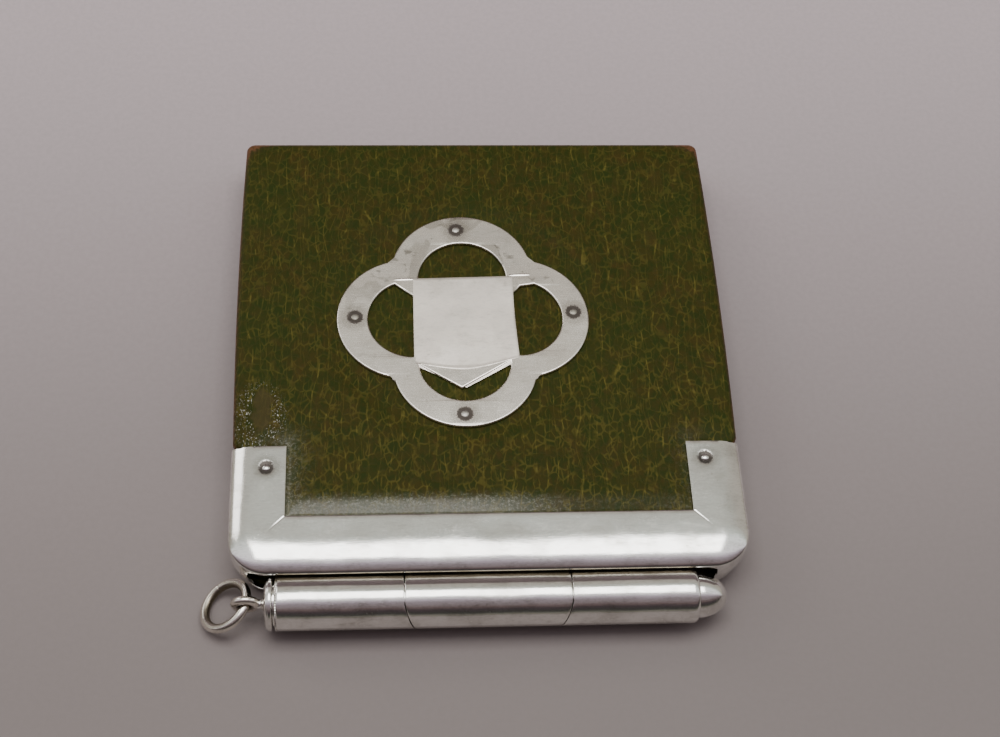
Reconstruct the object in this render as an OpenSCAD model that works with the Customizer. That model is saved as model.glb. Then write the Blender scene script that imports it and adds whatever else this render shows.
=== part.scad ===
// Aide-memoire purse: two leather covers with silver mounts, joined by a leather spine and
// locked by a silver pencil that slides through three knuckle tubes.
// +X is to the right, +Y runs back to the spine, +Z is up. The origin is the middle of the
// flat face that the purse rests on.

/* [Purse] */
// Width over the front mount
body_w = 76; // [72:0.5:84]
// Depth from the front mount's edge to the back of the spine
body_d = 78.6; // [76:0.2:90]
// Thickness over the two mounts
body_t = 9.4; // [9.2:0.1:11]
// How much smaller the rear cover is at each open side
rear_inset = 0.4; // [0:0.05:0.6]

/* [Covers] */
// Thickness of the leather
leather_t = 0.8; // [0.6:0.05:0.9]
// Thickness of the cover boards
board_t = 1; // [0.8:0.05:1.2]
// Thickness of the silk linings and of the leather turned in round them
lining_t = 0.3; // [0.2:0.05:0.4]
// Width of the leather turned in round a lining
turn_in = 4.5; // [3:0.5:6]
// How far the leather's sides lie inside the mounts' sides
leather_inset = 0.3; // [0:0.05:0.4]
// Width of the leather along the edges of a board
skirt_t = 1.4; // [1.3:0.05:1.8]
// Radius of the leather over a cover's side edges
leather_edge_r = 0.9; // [0.6:0.05:1.2]
// Radius of the leather round a cover's back edge
spine_r = 1.65; // [1.4:0.05:1.8]
// Radius of the back corners seen from above
back_corner_r = 1.5; // [0.8:0.1:2.5]

/* [Mounts] */
// Thickness of the sheet silver
mount_t = 0.5; // [0.4:0.05:0.6]
// Height of the wall turned down behind the tubes
rim_h = 1.85; // [1.7:0.05:2]
// Gap between the walls of the two mounts at the corners and sides
wall_gap = 0.2; // [0.1:0.05:0.6]
// How far the wall stays low to the left of the tubes, for the pencil's head
recess_left = 4.3; // [4.2:0.1:4.6]
// How far the wall stays low to the right of the tubes
recess_right = 3.3; // [2.5:0.1:3.6]
// Radius of the ends of that low stretch
recess_r = 1.4; // [0.8:0.1:1.6]
// Width of the softened edge
edge_run = 3; // [2:0.1:4]
// Drop of the softened edge
edge_drop = 0.8; // [0.5:0.05:1]
// Radius of the mounts' corners
corner_r = 6; // [5:0.5:8]
// Width of the band along the front edge
band_w = 8.6; // [7:0.2:12]
// Width of the arms along the sides
arm_w = 8.2; // [7:0.2:12]
// Length of the arms from the front edge
arm_l = 20.2; // [16:0.2:30]
// How far the front mount stands proud of the leather
mount_proud = 0.2; // [0.1:0.05:0.3]

/* [Pins] */
// Diameter of a rivet pin's shank
pin_d = 0.9; // [0.7:0.05:1.2]
// Diameter of a pin's domed head
pin_head_d = 1.3; // [1.2:0.05:1.8]
// Diameter of the dish that a head sits in
pin_dish_d = 2.4; // [2:0.1:3]
// Distance of a mount pin from the side of its mount
pin_in = 5.4; // [4:0.1:6]
// Distance of a mount pin from the end of its arm
pin_back = 3.2; // [2.5:0.1:5]

/* [Knuckles] */
// Outer diameter of the knuckle tubes
tube_d = 7.9; // [7.6:0.05:8.2]
// Length of the three knuckles together
tube_l = 60.8; // [56:0.2:62]
// Length of the centre knuckle along its top
centre_l = 23.8; // [20:0.2:28]
// How far the knuckles lie to the left of the middle
tube_left = 0.7; // [0:0.1:1]
// How far the tubes reach back past the mounts' front edge
tube_sink = 0.92; // [0.85:0.01:1]
// Gap between two knuckles
knuckle_gap = 0.15; // [0.1:0.01:0.3]
// Narrowing of the centre knuckle on each side per millimetre down
knuckle_taper = 0.31; // [0.1:0.01:0.4]
// Forward lean of that narrowing
taper_lean = 12.5; // [0:0.5:20]
// Chamfer of the two outer tube ends
tube_chamfer = 0.45; // [0.2:0.05:0.6]
// Distance of the groove round the left tube from its end
groove_in = 0.75; // [0.6:0.05:1]
// Depth of the turned grooves
groove_depth = 0.12; // [0.05:0.01:0.2]
// Thickness of the leaf that fixes a knuckle inside its mount's rim
leaf_t = 0.5; // [0.4:0.05:0.6]

/* [Pencil] */
// Diameter of the pencil's sleeve
pencil_d = 6.5; // [6:0.05:6.7]
// Radial clearance of the sleeve in the knuckles and of the lead holder in the sleeve
slide_clear = 0.05; // [0.03:0.01:0.08]
// Wall of the sleeve
sleeve_wall = 0.4; // [0.3:0.05:0.5]
// Length of the sleeve's bullet nose
nose_l = 4.1; // [3:0.1:5]
// Diameter of the pencil's head
head_d = 7.8; // [7.2:0.05:8]
// Thickness of the head at its rim
head_rim_t = 0.9; // [0.7:0.05:1.2]
// Height of the dome on the head
head_dome = 0.6; // [0.3:0.05:0.9]
// Gap between the head and the left tube
head_gap = 0.32; // [0.2:0.02:0.5]
// Length of the lead holder without its cone
holder_l = 34; // [28:1:40]
// Length of the holder's cone
cone_l = 5; // [4:0.5:7]
// Diameter of the lead
lead_d = 1.6; // [1.2:0.1:2]
// Length of lead that shows
lead_out = 6; // [3:0.5:8]

/* [Ring] */
// Diameter of the eye's wire
eye_wire_d = 1.25; // [0.9:0.05:1.25]
// Outer diameter of the eye
eye_d = 4.2; // [4.2:0.1:4.6]
// Diameter of the jump ring's wire
ring_wire_d = 1.4; // [1:0.05:1.4]
// Outer diameter of the jump ring
ring_d = 8.7; // [8:0.1:9.6]
// Angle by which the ring is turned towards the back, where the mounts' corner lets it
ring_yaw = 14; // [0:1:15]
// Least gap between the ring and the mounts' corner
ring_clear = 0.08; // [0.05:0.01:0.3]
// Length of the neck between the head and the eye
neck_l = 0.35; // [0.25:0.05:1]

/* [Cartouche] */
// Width and depth over the lobes
quatrefoil_w = 39.4; // [34:0.2:44]
// Distance across the notches between the lobes, along X or Y
notch_w = 21.8; // [21:0.1:23]
// Radius of the four openings
opening_r = 7; // [5:0.1:7.2]
// Width of the lobes' rim
lobe_rim = 4.8; // [4.5:0.1:6]
// Width of the shield
shield_w = 15.8; // [15.2:0.1:17]
// Height of the shield's top edge above the middle
shield_top = 7.5; // [7.4:0.1:8.4]
// Depth of the shield's lower corners below the middle
shield_low = 8.4; // [7.2:0.1:8.8]
// Depth of the shield's point below the middle
shield_point = 12.9; // [10:0.1:13]
// How far the ears reach out from the shield's top corners
ear_w = 4; // [2:0.1:4.4]
// Height of the ears at the shield's sides
ear_h = 3.3; // [1:0.1:4]
// How far the lip along the shield's lower edge is bent down at its point
lip_drop = 0.22; // [0.1:0.01:0.3]
// Depth of the lip's fold below the middle
lip_fold = 8.7; // [8:0.1:9.6]
// Thickness of the cartouche
cartouche_t = 0.6; // [0.5:0.05:0.8]
// Height of the shield's raised field
shield_rise = 0.08; // [0.05:0.01:0.2]
// Place of the cartouche to the left of the middle
cartouche_left = 2.9; // [0:0.1:5]
// Place of the cartouche behind the middle
cartouche_back = 3.3; // [0:0.1:8]

/* [Pockets] */
// Width of the card pocket
card_w = 62; // [54:0.5:64]
// Distance of the card pocket's mouth from the front edge
card_mouth = 13.6; // [12:0.2:20]
// Distance of the pockets' closed ends from the back of the spine
pocket_back = 7; // [6.5:0.5:10]
// Width of a pocket's sewn edge
seam_w = 1.2; // [1:0.1:2]
// Thickness of a pocket's panel
panel_t = 0.45; // [0.35:0.05:0.5]
// Room under the card pocket's panel
card_room = 0.6; // [0.4:0.05:0.7]
// Width of the coin pocket
coin_w = 36; // [30:0.5:44]
// Depth of the coin pocket
coin_depth = 34; // [28:0.5:44]
// Distance of the coin pocket's closed end from the card pocket's
coin_step = 12; // [4:0.5:14]
// Room under the coin pocket's panel
coin_room = 0.5; // [0.3:0.05:0.6]
// Width of the note pad
pad_w = 58; // [50:0.5:60]
// Depth of the note pad
pad_depth = 46; // [40:0.5:50]
// Thickness of the pad's leaves
leaves_t = 1.1; // [0.8:0.05:1.2]
// Thickness of the pad's card back
card_t = 0.3; // [0.2:0.05:0.4]
// Clearance round the pad in its pocket
pad_clear = 0.1; // [0.08:0.01:0.2]
// How far the pad's edge lies inside the mouth of its pocket
pad_inside = 0.5; // [0:0.1:2]

/* [Hidden] */
$fn = 64;

// Colours
silver = [0.74, 0.73, 0.7];
green_leather = [0.2, 0.21, 0.07];
silk = [0.62, 0.6, 0.46];
pocket_leather = [0.3, 0.3, 0.14];
grey_board = [0.55, 0.52, 0.46];
ivory_paper = [0.9, 0.87, 0.78];
graphite = [0.2, 0.2, 0.21];

// Mounts: half widths and front edges
front_hw = body_w / 2;
rear_hw = front_hw - rear_inset;
front_edge = -body_d / 2;
rear_edge = front_edge + rear_inset;
back_face = body_d / 2;
arc_steps = 8;

// Covers, measured from the outer face of the mount inwards
front_proud = mount_proud;
rear_proud = 0;
function stack_t(proud) = proud + leather_t + board_t + lining_t;
fold_play = 0.05;
board_gap = 0.25;
// The covers' boards end here, in front of the leather's turn round the back edge
board_back = back_face - spine_r - board_gap;
leaf_clear = 0.1;
wall_h = (body_t - wall_gap) / 2;

// Pins: hole round the shank and depth of the dish
pin_clear = pin_d / 45;
pin_sunk = 0.3 * mount_t;

// Fold lines of the spine
rear_fold_z = rear_proud + spine_r;
front_fold_z = body_t - front_proud - spine_r;

// Tubes and pencil
tube_r = tube_d / 2;
bore_r = pencil_d / 2 + slide_clear;
tube_y = front_edge - tube_r + tube_sink;
tube_z = body_t / 2;
tube_x0 = -tube_left - tube_l / 2;
tube_x1 = -tube_left + tube_l / 2;
// Height above the tubes' axis down to which the centre knuckle keeps its full length
taper_top = 0.7 * tube_r;
overshoot = 1;
head_x = tube_x0 - head_gap;
sleeve_x = head_x + fold_play;
sleeve_bore_r = pencil_d / 2 - sleeve_wall;
holder_r = sleeve_bore_r - slide_clear;
head_front_x = head_x - head_rim_t - head_dome;

// Eye and ring
eye_mid_r = (eye_d - eye_wire_d) / 2;
eye_x = head_front_x - neck_l - eye_d / 2;
ring_mid_r = (ring_d - ring_wire_d) / 2;
ring_lift = 0.05;
// The ring leans until it touches the surface that the purse rests on
ring_lean = asin((tube_z - ring_wire_d / 2 - ring_lift) / (2 * ring_mid_r));
// Seen from above, the ring's middle keeps this distance from the middle of the mounts' corner
corner_reach = corner_r + ring_d / 2 + ring_clear;
corner_dx = eye_x + front_hw - corner_r;
corner_dy = front_edge + corner_r - tube_y;
corner_far = norm([corner_dx, corner_dy]);
ring_side = ring_mid_r * cos(ring_lean);
corner_turn = acos((corner_far * corner_far + ring_side * ring_side - corner_reach * corner_reach)
                   / (2 * corner_far * ring_side));
ring_turn = min(ring_yaw, atan2(corner_dy, corner_dx) - corner_turn);

// Lobes: arcs through the notches
lobe_reach = quatrefoil_w / 2;
notch = notch_w / 2;
lobe_mid = (lobe_reach * lobe_reach - 2 * notch * notch) / (2 * (lobe_reach - notch));
lobe_r = lobe_reach - lobe_mid;
opening_mid = lobe_reach - lobe_rim - opening_r;
cartouche_z = body_t - front_proud;
cartouche_pin_r = lobe_reach - lobe_rim / 2;

// Pockets
rear_inner_z = stack_t(rear_proud);
front_inner_z = body_t - stack_t(front_proud);
pocket_end = back_face - pocket_back;
card_top_z = rear_inner_z + card_room + panel_t;
card_depth = pocket_end - front_edge - card_mouth;
pad_room = leaves_t + card_t + 2 * pad_clear;
note_w = pad_w + pad_clear + pad_inside + seam_w;
note_depth = pad_depth + 2 * pad_clear + 2 * seam_w;

// Section of the softened edge: x runs in from the mount's edge, y is height below its face
function soft_arc(inset, from, to) = [for (i = [0:arc_steps]) let (a = from + (to - from) * i / arc_steps)
    [inset + (edge_run - inset) * (1 - cos(a)), -inset - edge_drop * (1 - sin(a))]];
sheet_section = concat([[0, -wall_h]], soft_arc(0, 0, 90), soft_arc(mount_t, 90, 0), [[mount_t, -wall_h]]);
core_section = concat([[mount_t, -rim_h]], soft_arc(mount_t, 0, 90), [[edge_run, -rim_h]]);

// Outline with two round corners at the front
module front_rounded(hw, y0, y1, r) {
    translate([-hw, y0 + r]) square([2 * hw, y1 - y0 - r]);
    translate([-hw + r, y0]) square([2 * (hw - r), r + fold_play]);
    for (side = [-1, 1]) translate([side * (hw - r), y0 + r]) circle(r);
}

// Outline with two round corners at the back
module back_rounded(hw, y0, y1, r) {
    mirror([0, 1, 0]) front_rounded(hw, -y1, -y0, r);
}

// Carries the edge section along both arms, round both corners and along the front
module edge_sweep(section, hw, fy) {
    corner_x = hw - corner_r;
    for (side = [0, 1]) mirror([side, 0, 0]) {
        translate([-hw, fy + arm_l, 0]) rotate([90, 0, 0])
            linear_extrude(arm_l - corner_r) polygon(section);
        translate([-corner_x, fy + corner_r, 0]) rotate([0, 0, 180]) rotate_extrude(angle = 90)
            polygon([for (p = section) [corner_r - p[0], p[1]]]);
    }
    translate([-corner_x, fy, 0]) rotate([90, 0, 90]) linear_extrude(2 * corner_x) polygon(section);
}

module at_front() {
    translate([0, 0, body_t]) children();
}

module at_rear() {
    mirror([0, 0, 1]) children();
}

module at_mount_pins(hw, fy) {
    for (side = [-1, 1])
        translate([side * (hw - pin_in), fy + arm_l - pin_back, 0]) children();
}

module at_cartouche() {
    translate([-cartouche_left, cartouche_back, cartouche_z]) children();
}

module at_cartouche_pins() {
    for (turn = [0:90:270]) rotate([0, 0, turn]) translate([cartouche_pin_r, 0, 0]) children();
}

// Shallow dish round a pin's head, cut down from z = 0
module pin_dish(depth) {
    translate([0, 0, -depth]) cylinder(h = depth, d1 = pin_head_d, d2 = pin_dish_d);
}

// Room in a mount's wall for the tubes and the pencil's head, face of the mount at z = 0
module wall_recess(fy) {
    x0 = tube_x0 - recess_left;
    x1 = tube_x1 + recess_right;
    deep = wall_h + overshoot;
    translate([0, fy + corner_r / 2, 0]) rotate([90, 0, 0]) linear_extrude(corner_r) {
        translate([x0 + recess_r, -deep]) square([x1 - x0 - 2 * recess_r, deep - rim_h]);
        translate([x0, -deep]) square([x1 - x0, deep - rim_h - recess_r]);
        for (x = [x0 + recess_r, x1 - recess_r]) translate([x, -rim_h - recess_r]) circle(recess_r);
    }
}

// Sheet silver mount: softened edge, walls, flat band and arms, face at z = 0
module mount_sheet(hw, fy, dish) {
    difference() {
        union() {
            edge_sweep(sheet_section, hw, fy);
            translate([0, 0, -mount_t]) linear_extrude(mount_t) difference() {
                front_rounded(hw - edge_run, fy + edge_run, fy + arm_l, corner_r - edge_run);
                translate([-(hw - arm_w), fy + band_w]) square([2 * (hw - arm_w), arm_l]);
            }
        }
        wall_recess(fy);
        at_mount_pins(hw, fy) {
            pin_dish(dish);
            translate([0, 0, -mount_t - overshoot])
                cylinder(h = mount_t + 2 * overshoot, d = pin_d + 2 * pin_clear);
        }
    }
}

// Space that a mount leaves for what it holds, and the open panel beyond the mount
module mount_inside(hw, fy, proud) {
    deep = stack_t(proud) + spine_r;
    edge_sweep(core_section, hw, fy);
    translate([0, 0, -rim_h]) linear_extrude(rim_h - mount_t)
        front_rounded(hw - edge_run, fy + edge_run, fy + arm_l, corner_r - edge_run);
    translate([0, 0, -deep]) linear_extrude(deep - rim_h)
        front_rounded(hw - mount_t, fy + mount_t, fy + arm_l, corner_r - mount_t);
    translate([-(hw - arm_w), fy + band_w, -deep]) cube([2 * (hw - arm_w), body_d, deep]);
    translate([-hw, fy + arm_l, -deep]) cube([2 * hw, body_d, deep]);
}

// Front edge of leather and board, behind the knuckle leaves
function cover_front(fy) = fy + mount_t + leaf_t + leaf_clear;

// One cover's leather: face, side skirts, turned-in margin and the turn round the back edge
module cover_leather(hw, fy, proud, drilled) {
    lw = hw - leather_inset;
    y0 = cover_front(fy);
    r = corner_r - mount_t - leaf_t;
    inner = -proud - leather_t - board_t;
    bottom = -stack_t(proud);
    difference() {
        intersection() {
            union() {
                translate([0, 0, bottom]) linear_extrude(-bottom) front_rounded(lw, y0, board_back, r);
                translate([0, 0, -proud]) back_turn(lw);
            }
            leather_sides(lw, proud, bottom);
            mount_inside(hw, fy, proud);
        }
        translate([0, 0, inner]) linear_extrude(board_t)
            front_rounded(lw - skirt_t, y0 + skirt_t, board_back + overshoot, r - skirt_t);
        translate([0, 0, bottom - overshoot]) linear_extrude(inner - bottom + overshoot + fold_play)
            lining_outline(lw, y0);
        translate([0, 0, bottom - overshoot])
            linear_extrude(inner - bottom + overshoot + board_t)
                translate([-lw, board_back]) square([2 * lw, overshoot / 4]);
        if (drilled) at_mount_pins(hw, fy)
            translate([0, 0, inner - overshoot]) cylinder(h = 2 * overshoot + board_t, d = pin_d + 2 * pin_clear);
    }
}

// Round outer edges of the leather along the sides, from its face down
module leather_sides(lw, proud, bottom) {
    r = leather_edge_r;
    translate([0, body_d, 0]) rotate([90, 0, 0]) linear_extrude(2 * body_d) {
        translate([-lw, bottom - spine_r]) square([2 * lw, -bottom + spine_r - proud - r]);
        translate([-lw + r, bottom]) square([2 * (lw - r), -bottom - proud]);
        for (side = [-1, 1]) translate([side * (lw - r), -proud - r]) circle(r);
    }
}

// Leather carried round the back edge as far as the spine's fold line
module back_turn(lw) {
    y_mid = back_face - spine_r;
    intersection() {
        translate([-lw, 0, 0]) rotate([90, 0, 90]) linear_extrude(2 * lw) {
            translate([board_back, -leather_t]) square([y_mid - board_back, leather_t]);
            intersection() {
                translate([y_mid, -spine_r]) difference() {
                    circle(spine_r);
                    circle(spine_r - leather_t);
                }
                translate([y_mid, -spine_r]) square(spine_r);
            }
        }
        translate([0, 0, -2 * spine_r]) linear_extrude(3 * spine_r)
            back_rounded(lw, 0, back_face, back_corner_r);
    }
}

module lining_outline(lw, y0) {
    translate([-lw + turn_in, y0 + turn_in]) square([2 * (lw - turn_in), board_back - y0 - turn_in]);
}

// One cover's board, held all round by the leather
module cover_board(hw, fy, proud) {
    lw = hw - leather_inset;
    y0 = cover_front(fy);
    r = corner_r - mount_t - leaf_t - skirt_t;
    inner = -proud - leather_t - board_t;
    difference() {
        intersection() {
            translate([0, 0, inner]) linear_extrude(board_t)
                front_rounded(lw - skirt_t, y0 + skirt_t, board_back, r);
            mount_inside(hw, fy, proud);
        }
        at_mount_pins(hw, fy) translate([0, 0, inner - overshoot])
            cylinder(h = 2 * overshoot + board_t, d = pin_d + 2 * pin_clear);
    }
}

// One cover's silk lining, let into the turned-in leather
module cover_lining(hw, fy, proud) {
    translate([0, 0, -stack_t(proud)]) linear_extrude(lining_t)
        lining_outline(hw - leather_inset, cover_front(fy));
}

// Rivet pin from its head at z = 0 down through what it holds
module pin(depth, sunk, domed) {
    translate([0, 0, -depth]) cylinder(h = depth - sunk + fold_play, d = pin_d);
    translate([0, 0, -sunk]) intersection() {
        cylinder(h = domed ? pin_head_d / 3 : sunk, d = domed ? pin_head_d : pin_d);
        translate([0, 0, domed ? -pin_head_d / 4 : 0]) sphere(d = domed ? pin_head_d * 1.12 : 4 * pin_head_d);
    }
}

// Space taken by the centre knuckle's tapered length, grown by a gap on each side
module knuckle_wedge(gap) {
    top = 3 * tube_r;
    half = centre_l / 2 + gap;
    low_half = half - knuckle_taper * (taper_top + top);
    translate([-tube_left, tube_y, tube_z]) rotate([-taper_lean, 0, 0]) rotate([90, 0, 0])
        linear_extrude(6 * tube_r, center = true)
            polygon([[-half, top], [half, top], [half, taper_top], [low_half, -top],
                     [-low_half, -top], [-half, taper_top]]);
}

// Tube along X between two ends, with a chamfer at either
module tube(x0, x1, chamfer0, chamfer1) {
    translate([x0, tube_y, tube_z]) rotate([0, 90, 0]) rotate_extrude()
        polygon([[bore_r, 0], [tube_r - chamfer0, 0], [tube_r, chamfer0],
                 [tube_r, x1 - x0 - chamfer1], [tube_r - chamfer1, x1 - x0], [bore_r, x1 - x0]]);
}

// Leaf behind the rim and the web that joins it to the tube, for a mount whose face is at z = 0
module knuckle_leaf(fy, x0, x1) {
    half_t = body_t / 2;
    leaf_end = mount_t + leaf_t;
    sunk = 0.45;
    weld = tube_y + tube_r - fy - sunk;
    under_rim = half_t - rim_h - fold_play;
    translate([x0, fy, 0]) rotate([90, 0, 90]) linear_extrude(x1 - x0) {
        intersection() {
            union() {
                polygon(core_section);
                translate([mount_t, -half_t]) square([edge_run, half_t - rim_h]);
            }
            translate([mount_t, -half_t]) square([leaf_t, half_t]);
        }
        translate([weld, -half_t]) square([leaf_end - weld, under_rim]);
    }
}

// Ring-shaped cut round the tubes' axis, for a turned groove in a rod or tube of radius r
module turned_groove(x, r) {
    translate([x, tube_y, tube_z]) rotate([0, 90, 0]) rotate_extrude()
        polygon([[r - groove_depth, 0], [r + groove_depth, -2 * groove_depth],
                 [r + groove_depth, 2 * groove_depth]]);
}

module bore_clearance() {
    translate([tube_x0 - overshoot, tube_y, tube_z]) rotate([0, 90, 0])
        cylinder(h = tube_l + 2 * overshoot, r = bore_r);
}

// Outer knuckle on the rear mount, from its free end in to the centre knuckle
module outer_knuckle(left) {
    reach = 3;
    inner = centre_l / 2 - reach;
    x0 = left ? tube_x0 : -tube_left + inner;
    x1 = left ? -tube_left - inner : tube_x1;
    difference() {
        union() {
            tube(x0, x1, left ? tube_chamfer : 0, left ? 0 : tube_chamfer);
            at_rear() knuckle_leaf(rear_edge, left ? x0 + tube_chamfer : x0, left ? x1 : x1 - tube_chamfer);
        }
        bore_clearance();
        knuckle_wedge(knuckle_gap);
        if (left) turned_groove(tube_x0 + groove_in, tube_r);
    }
}

// Pocket panel raised on a sewn edge round three sides; open towards the front, z = 0 at its foot
module pocket(w, depth, room, open_side) {
    linear_extrude(room) difference() {
        square([w, depth]);
        translate([seam_w, open_side ? seam_w : -overshoot])
            square([open_side ? w : w - 2 * seam_w, open_side ? depth - 2 * seam_w : depth - seam_w + overshoot]);
    }
    translate([0, 0, room]) linear_extrude(panel_t) square([w, depth]);
}

// Outline of the shield with an ear at either top corner
module shield_outline() {
    w = shield_w / 2;
    ear_foot = shield_top - ear_h;
    polygon([[-w - ear_w, shield_top], [w + ear_w, shield_top], [w, ear_foot], [w, -shield_low],
             [0, -shield_point], [-w, -shield_low], [-w, ear_foot]]);
}

// Space over the shield's lip, which slopes down from its fold to the point
module over_lip() {
    slope = atan(lip_drop / (shield_point - lip_fold));
    intersection() {
        linear_extrude(2 * cartouche_t) shield_outline();
        translate([-shield_w, -lip_fold, cartouche_t]) rotate([slope, 0, 0]) translate([0, -shield_w, 0])
            cube([2 * shield_w, shield_w, cartouche_t]);
    }
}

// Raised field of the shield, above the lip
module shield_field() {
    margin = 0.5;
    translate([margin - shield_w / 2, -lip_fold])
        square([shield_w - 2 * margin, shield_top + lip_fold - margin]);
}

module lobes(mid, r) {
    for (turn = [0:90:270]) rotate(turn) translate([mid, 0]) circle(r);
}

module rear_leather() {
    color(green_leather) at_rear() cover_leather(rear_hw, rear_edge, rear_proud, true);
}

module rear_board() {
    color(grey_board) at_rear() cover_board(rear_hw, rear_edge, rear_proud);
}

module rear_lining() {
    color(silk) at_rear() cover_lining(rear_hw, rear_edge, rear_proud);
}

module rear_mount() {
    color(silver) at_rear() mount_sheet(rear_hw, rear_edge, pin_sunk);
}

module rear_mount_pins() {
    color(silver) at_rear() at_mount_pins(rear_hw, rear_edge)
        pin(rear_proud + leather_t + board_t, pin_sunk, false);
}

module left_knuckle() {
    color(silver) outer_knuckle(true);
}

module right_knuckle() {
    color(silver) outer_knuckle(false);
}

module card_pocket() {
    color(pocket_leather) translate([-card_w / 2, pocket_end - card_depth, rear_inner_z])
        pocket(card_w, card_depth, card_room, false);
}

module coin_pocket() {
    color(pocket_leather) translate([-coin_w / 2, pocket_end - coin_step - coin_depth, card_top_z])
        pocket(coin_w, coin_depth, coin_room, false);
}

// Strip between the two fold lines: from the back face in, z from fold to fold
module spine_strip(from_back, thickness, end_in) {
    low = rear_fold_z + fold_play;
    hw = rear_hw - leather_inset - end_in;
    translate([-hw, back_face - from_back - thickness, low])
        cube([2 * hw, thickness, front_fold_z - fold_play - low]);
}

spine_board_t = 0.6;

module spine_leather() {
    color(green_leather) intersection() {
        spine_strip(0, leather_t, 0);
        linear_extrude(body_t) back_rounded(rear_hw - leather_inset, 0, back_face, back_corner_r);
    }
}

module spine_board() {
    color(grey_board) spine_strip(leather_t, spine_board_t, skirt_t);
}

module spine_lining() {
    color(silk) spine_strip(leather_t + spine_board_t, lining_t, skirt_t);
}

module front_leather() {
    color(green_leather) difference() {
        at_front() cover_leather(front_hw, front_edge, front_proud, true);
        at_cartouche() at_cartouche_pins() translate([0, 0, -leather_t - overshoot])
            cylinder(h = leather_t + 2 * overshoot, d = pin_d + 2 * pin_clear);
    }
}

module front_board() {
    color(grey_board) difference() {
        at_front() cover_board(front_hw, front_edge, front_proud);
        at_cartouche() at_cartouche_pins() translate([0, 0, -leather_t - board_t - overshoot])
            cylinder(h = board_t + 2 * overshoot, d = pin_d + 2 * pin_clear);
    }
}

module front_lining() {
    color(silk) at_front() cover_lining(front_hw, front_edge, front_proud);
}

module front_mount() {
    color(silver) at_front() mount_sheet(front_hw, front_edge, pin_sunk);
}

module front_mount_pins() {
    color(silver) at_front() at_mount_pins(front_hw, front_edge)
        pin(front_proud + leather_t + board_t, pin_sunk, true);
}

module centre_knuckle() {
    half = centre_l / 2;
    color(silver) intersection() {
        difference() {
            union() {
                tube(-tube_left - half, -tube_left + half, 0, 0);
                at_front() knuckle_leaf(front_edge, -tube_left - half, -tube_left + half);
            }
            bore_clearance();
        }
        knuckle_wedge(0);
    }
}

module cartouche() {
    color(silver) at_cartouche() {
        difference() {
            linear_extrude(cartouche_t) difference() {
                union() {
                    lobes(lobe_mid, lobe_r);
                    square(notch_w, center = true);
                }
                difference() {
                    lobes(opening_mid, opening_r);
                    shield_outline();
                }
            }
            over_lip();
            translate([0, 0, cartouche_t]) at_cartouche_pins() pin_dish(pin_sunk);
            at_cartouche_pins() translate([0, 0, -overshoot])
                cylinder(h = cartouche_t + 2 * overshoot, d = pin_d + 2 * pin_clear);
        }
        translate([0, 0, cartouche_t]) linear_extrude(shield_rise) shield_field();
    }
}

module cartouche_pins() {
    color(silver) at_cartouche() translate([0, 0, cartouche_t]) at_cartouche_pins()
        pin(cartouche_t + leather_t + board_t, pin_sunk, true);
}

// Pocket for the pad, hung under the front cover, with its mouth at the right side
module note_pocket() {
    color(pocket_leather) translate([-note_w / 2, pocket_end - note_depth, front_inner_z])
        mirror([0, 0, 1]) pocket(note_w, note_depth, pad_room, true);
}

module pad_sheet(z, thickness) {
    translate([-note_w / 2 + seam_w + pad_clear, pocket_end - seam_w - pad_clear - pad_depth, z])
        cube([pad_w, pad_depth, thickness]);
}

module note_pad() {
    color(ivory_paper) pad_sheet(front_inner_z - pad_clear - card_t - leaves_t, leaves_t);
}

module note_pad_back() {
    color(grey_board) pad_sheet(front_inner_z - pad_clear - card_t, card_t);
}

// Sleeve with its closed bullet nose
module pencil_sleeve() {
    straight = tube_x1 - sleeve_x;
    r = pencil_d / 2;
    nose_steps = 12;
    closed = 1;
    color(silver) translate([sleeve_x, tube_y, tube_z]) rotate([0, 90, 0]) rotate_extrude()
        polygon(concat([[sleeve_bore_r, 0], [r, 0]],
                       [for (i = [0:nose_steps]) let (a = 90 * i / nose_steps)
                           [r * cos(a), straight + nose_l * sin(a)]],
                       [[0, straight - closed], [sleeve_bore_r, straight - closed]]));
}

// Domed disc on the end of the pencil
module pencil_head() {
    r = head_d / 2;
    dome_steps = 8;
    neck_r = eye_wire_d / 2;
    color(silver) translate([head_x, tube_y, tube_z]) rotate([0, -90, 0]) rotate_extrude()
        polygon(concat([[0, 0], [r, 0]],
                       [for (i = [0:dome_steps]) let (a = 90 * i / dome_steps)
                           [neck_r + (r - neck_r) * cos(a), head_rim_t + head_dome * sin(a)]],
                       [[0, head_rim_t + head_dome]]));
}

// Wire eye soldered to the head, standing on edge
module pencil_eye() {
    color(silver) {
        difference() {
            translate([head_front_x, tube_y, tube_z]) rotate([0, -90, 0])
                cylinder(h = neck_l + eye_wire_d / 2, d = eye_wire_d * 1.2);
            translate([eye_x, tube_y, tube_z]) rotate([90, 0, 0])
                cylinder(h = 2 * eye_wire_d, r = eye_mid_r, center = true);
        }
        translate([eye_x, tube_y, tube_z]) rotate([90, 0, 0]) rotate_extrude()
            translate([eye_mid_r, 0]) circle(d = eye_wire_d);
    }
}

// Rod that slides in the sleeve and ends in a cone round the lead
module lead_holder() {
    lead_r = lead_d / 2;
    tip_wall = 0.35;
    groove_step = 4;
    color(silver) difference() {
        translate([head_x, tube_y, tube_z]) rotate([0, 90, 0]) rotate_extrude()
            polygon([[0, 0], [holder_r, 0], [holder_r, holder_l], [lead_r + tip_wall, holder_l + cone_l],
                     [lead_r, holder_l + cone_l], [lead_r, holder_l], [0, holder_l]]);
        for (step = [1, 2]) turned_groove(head_x + holder_l - step * groove_step, holder_r);
    }
}

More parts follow.
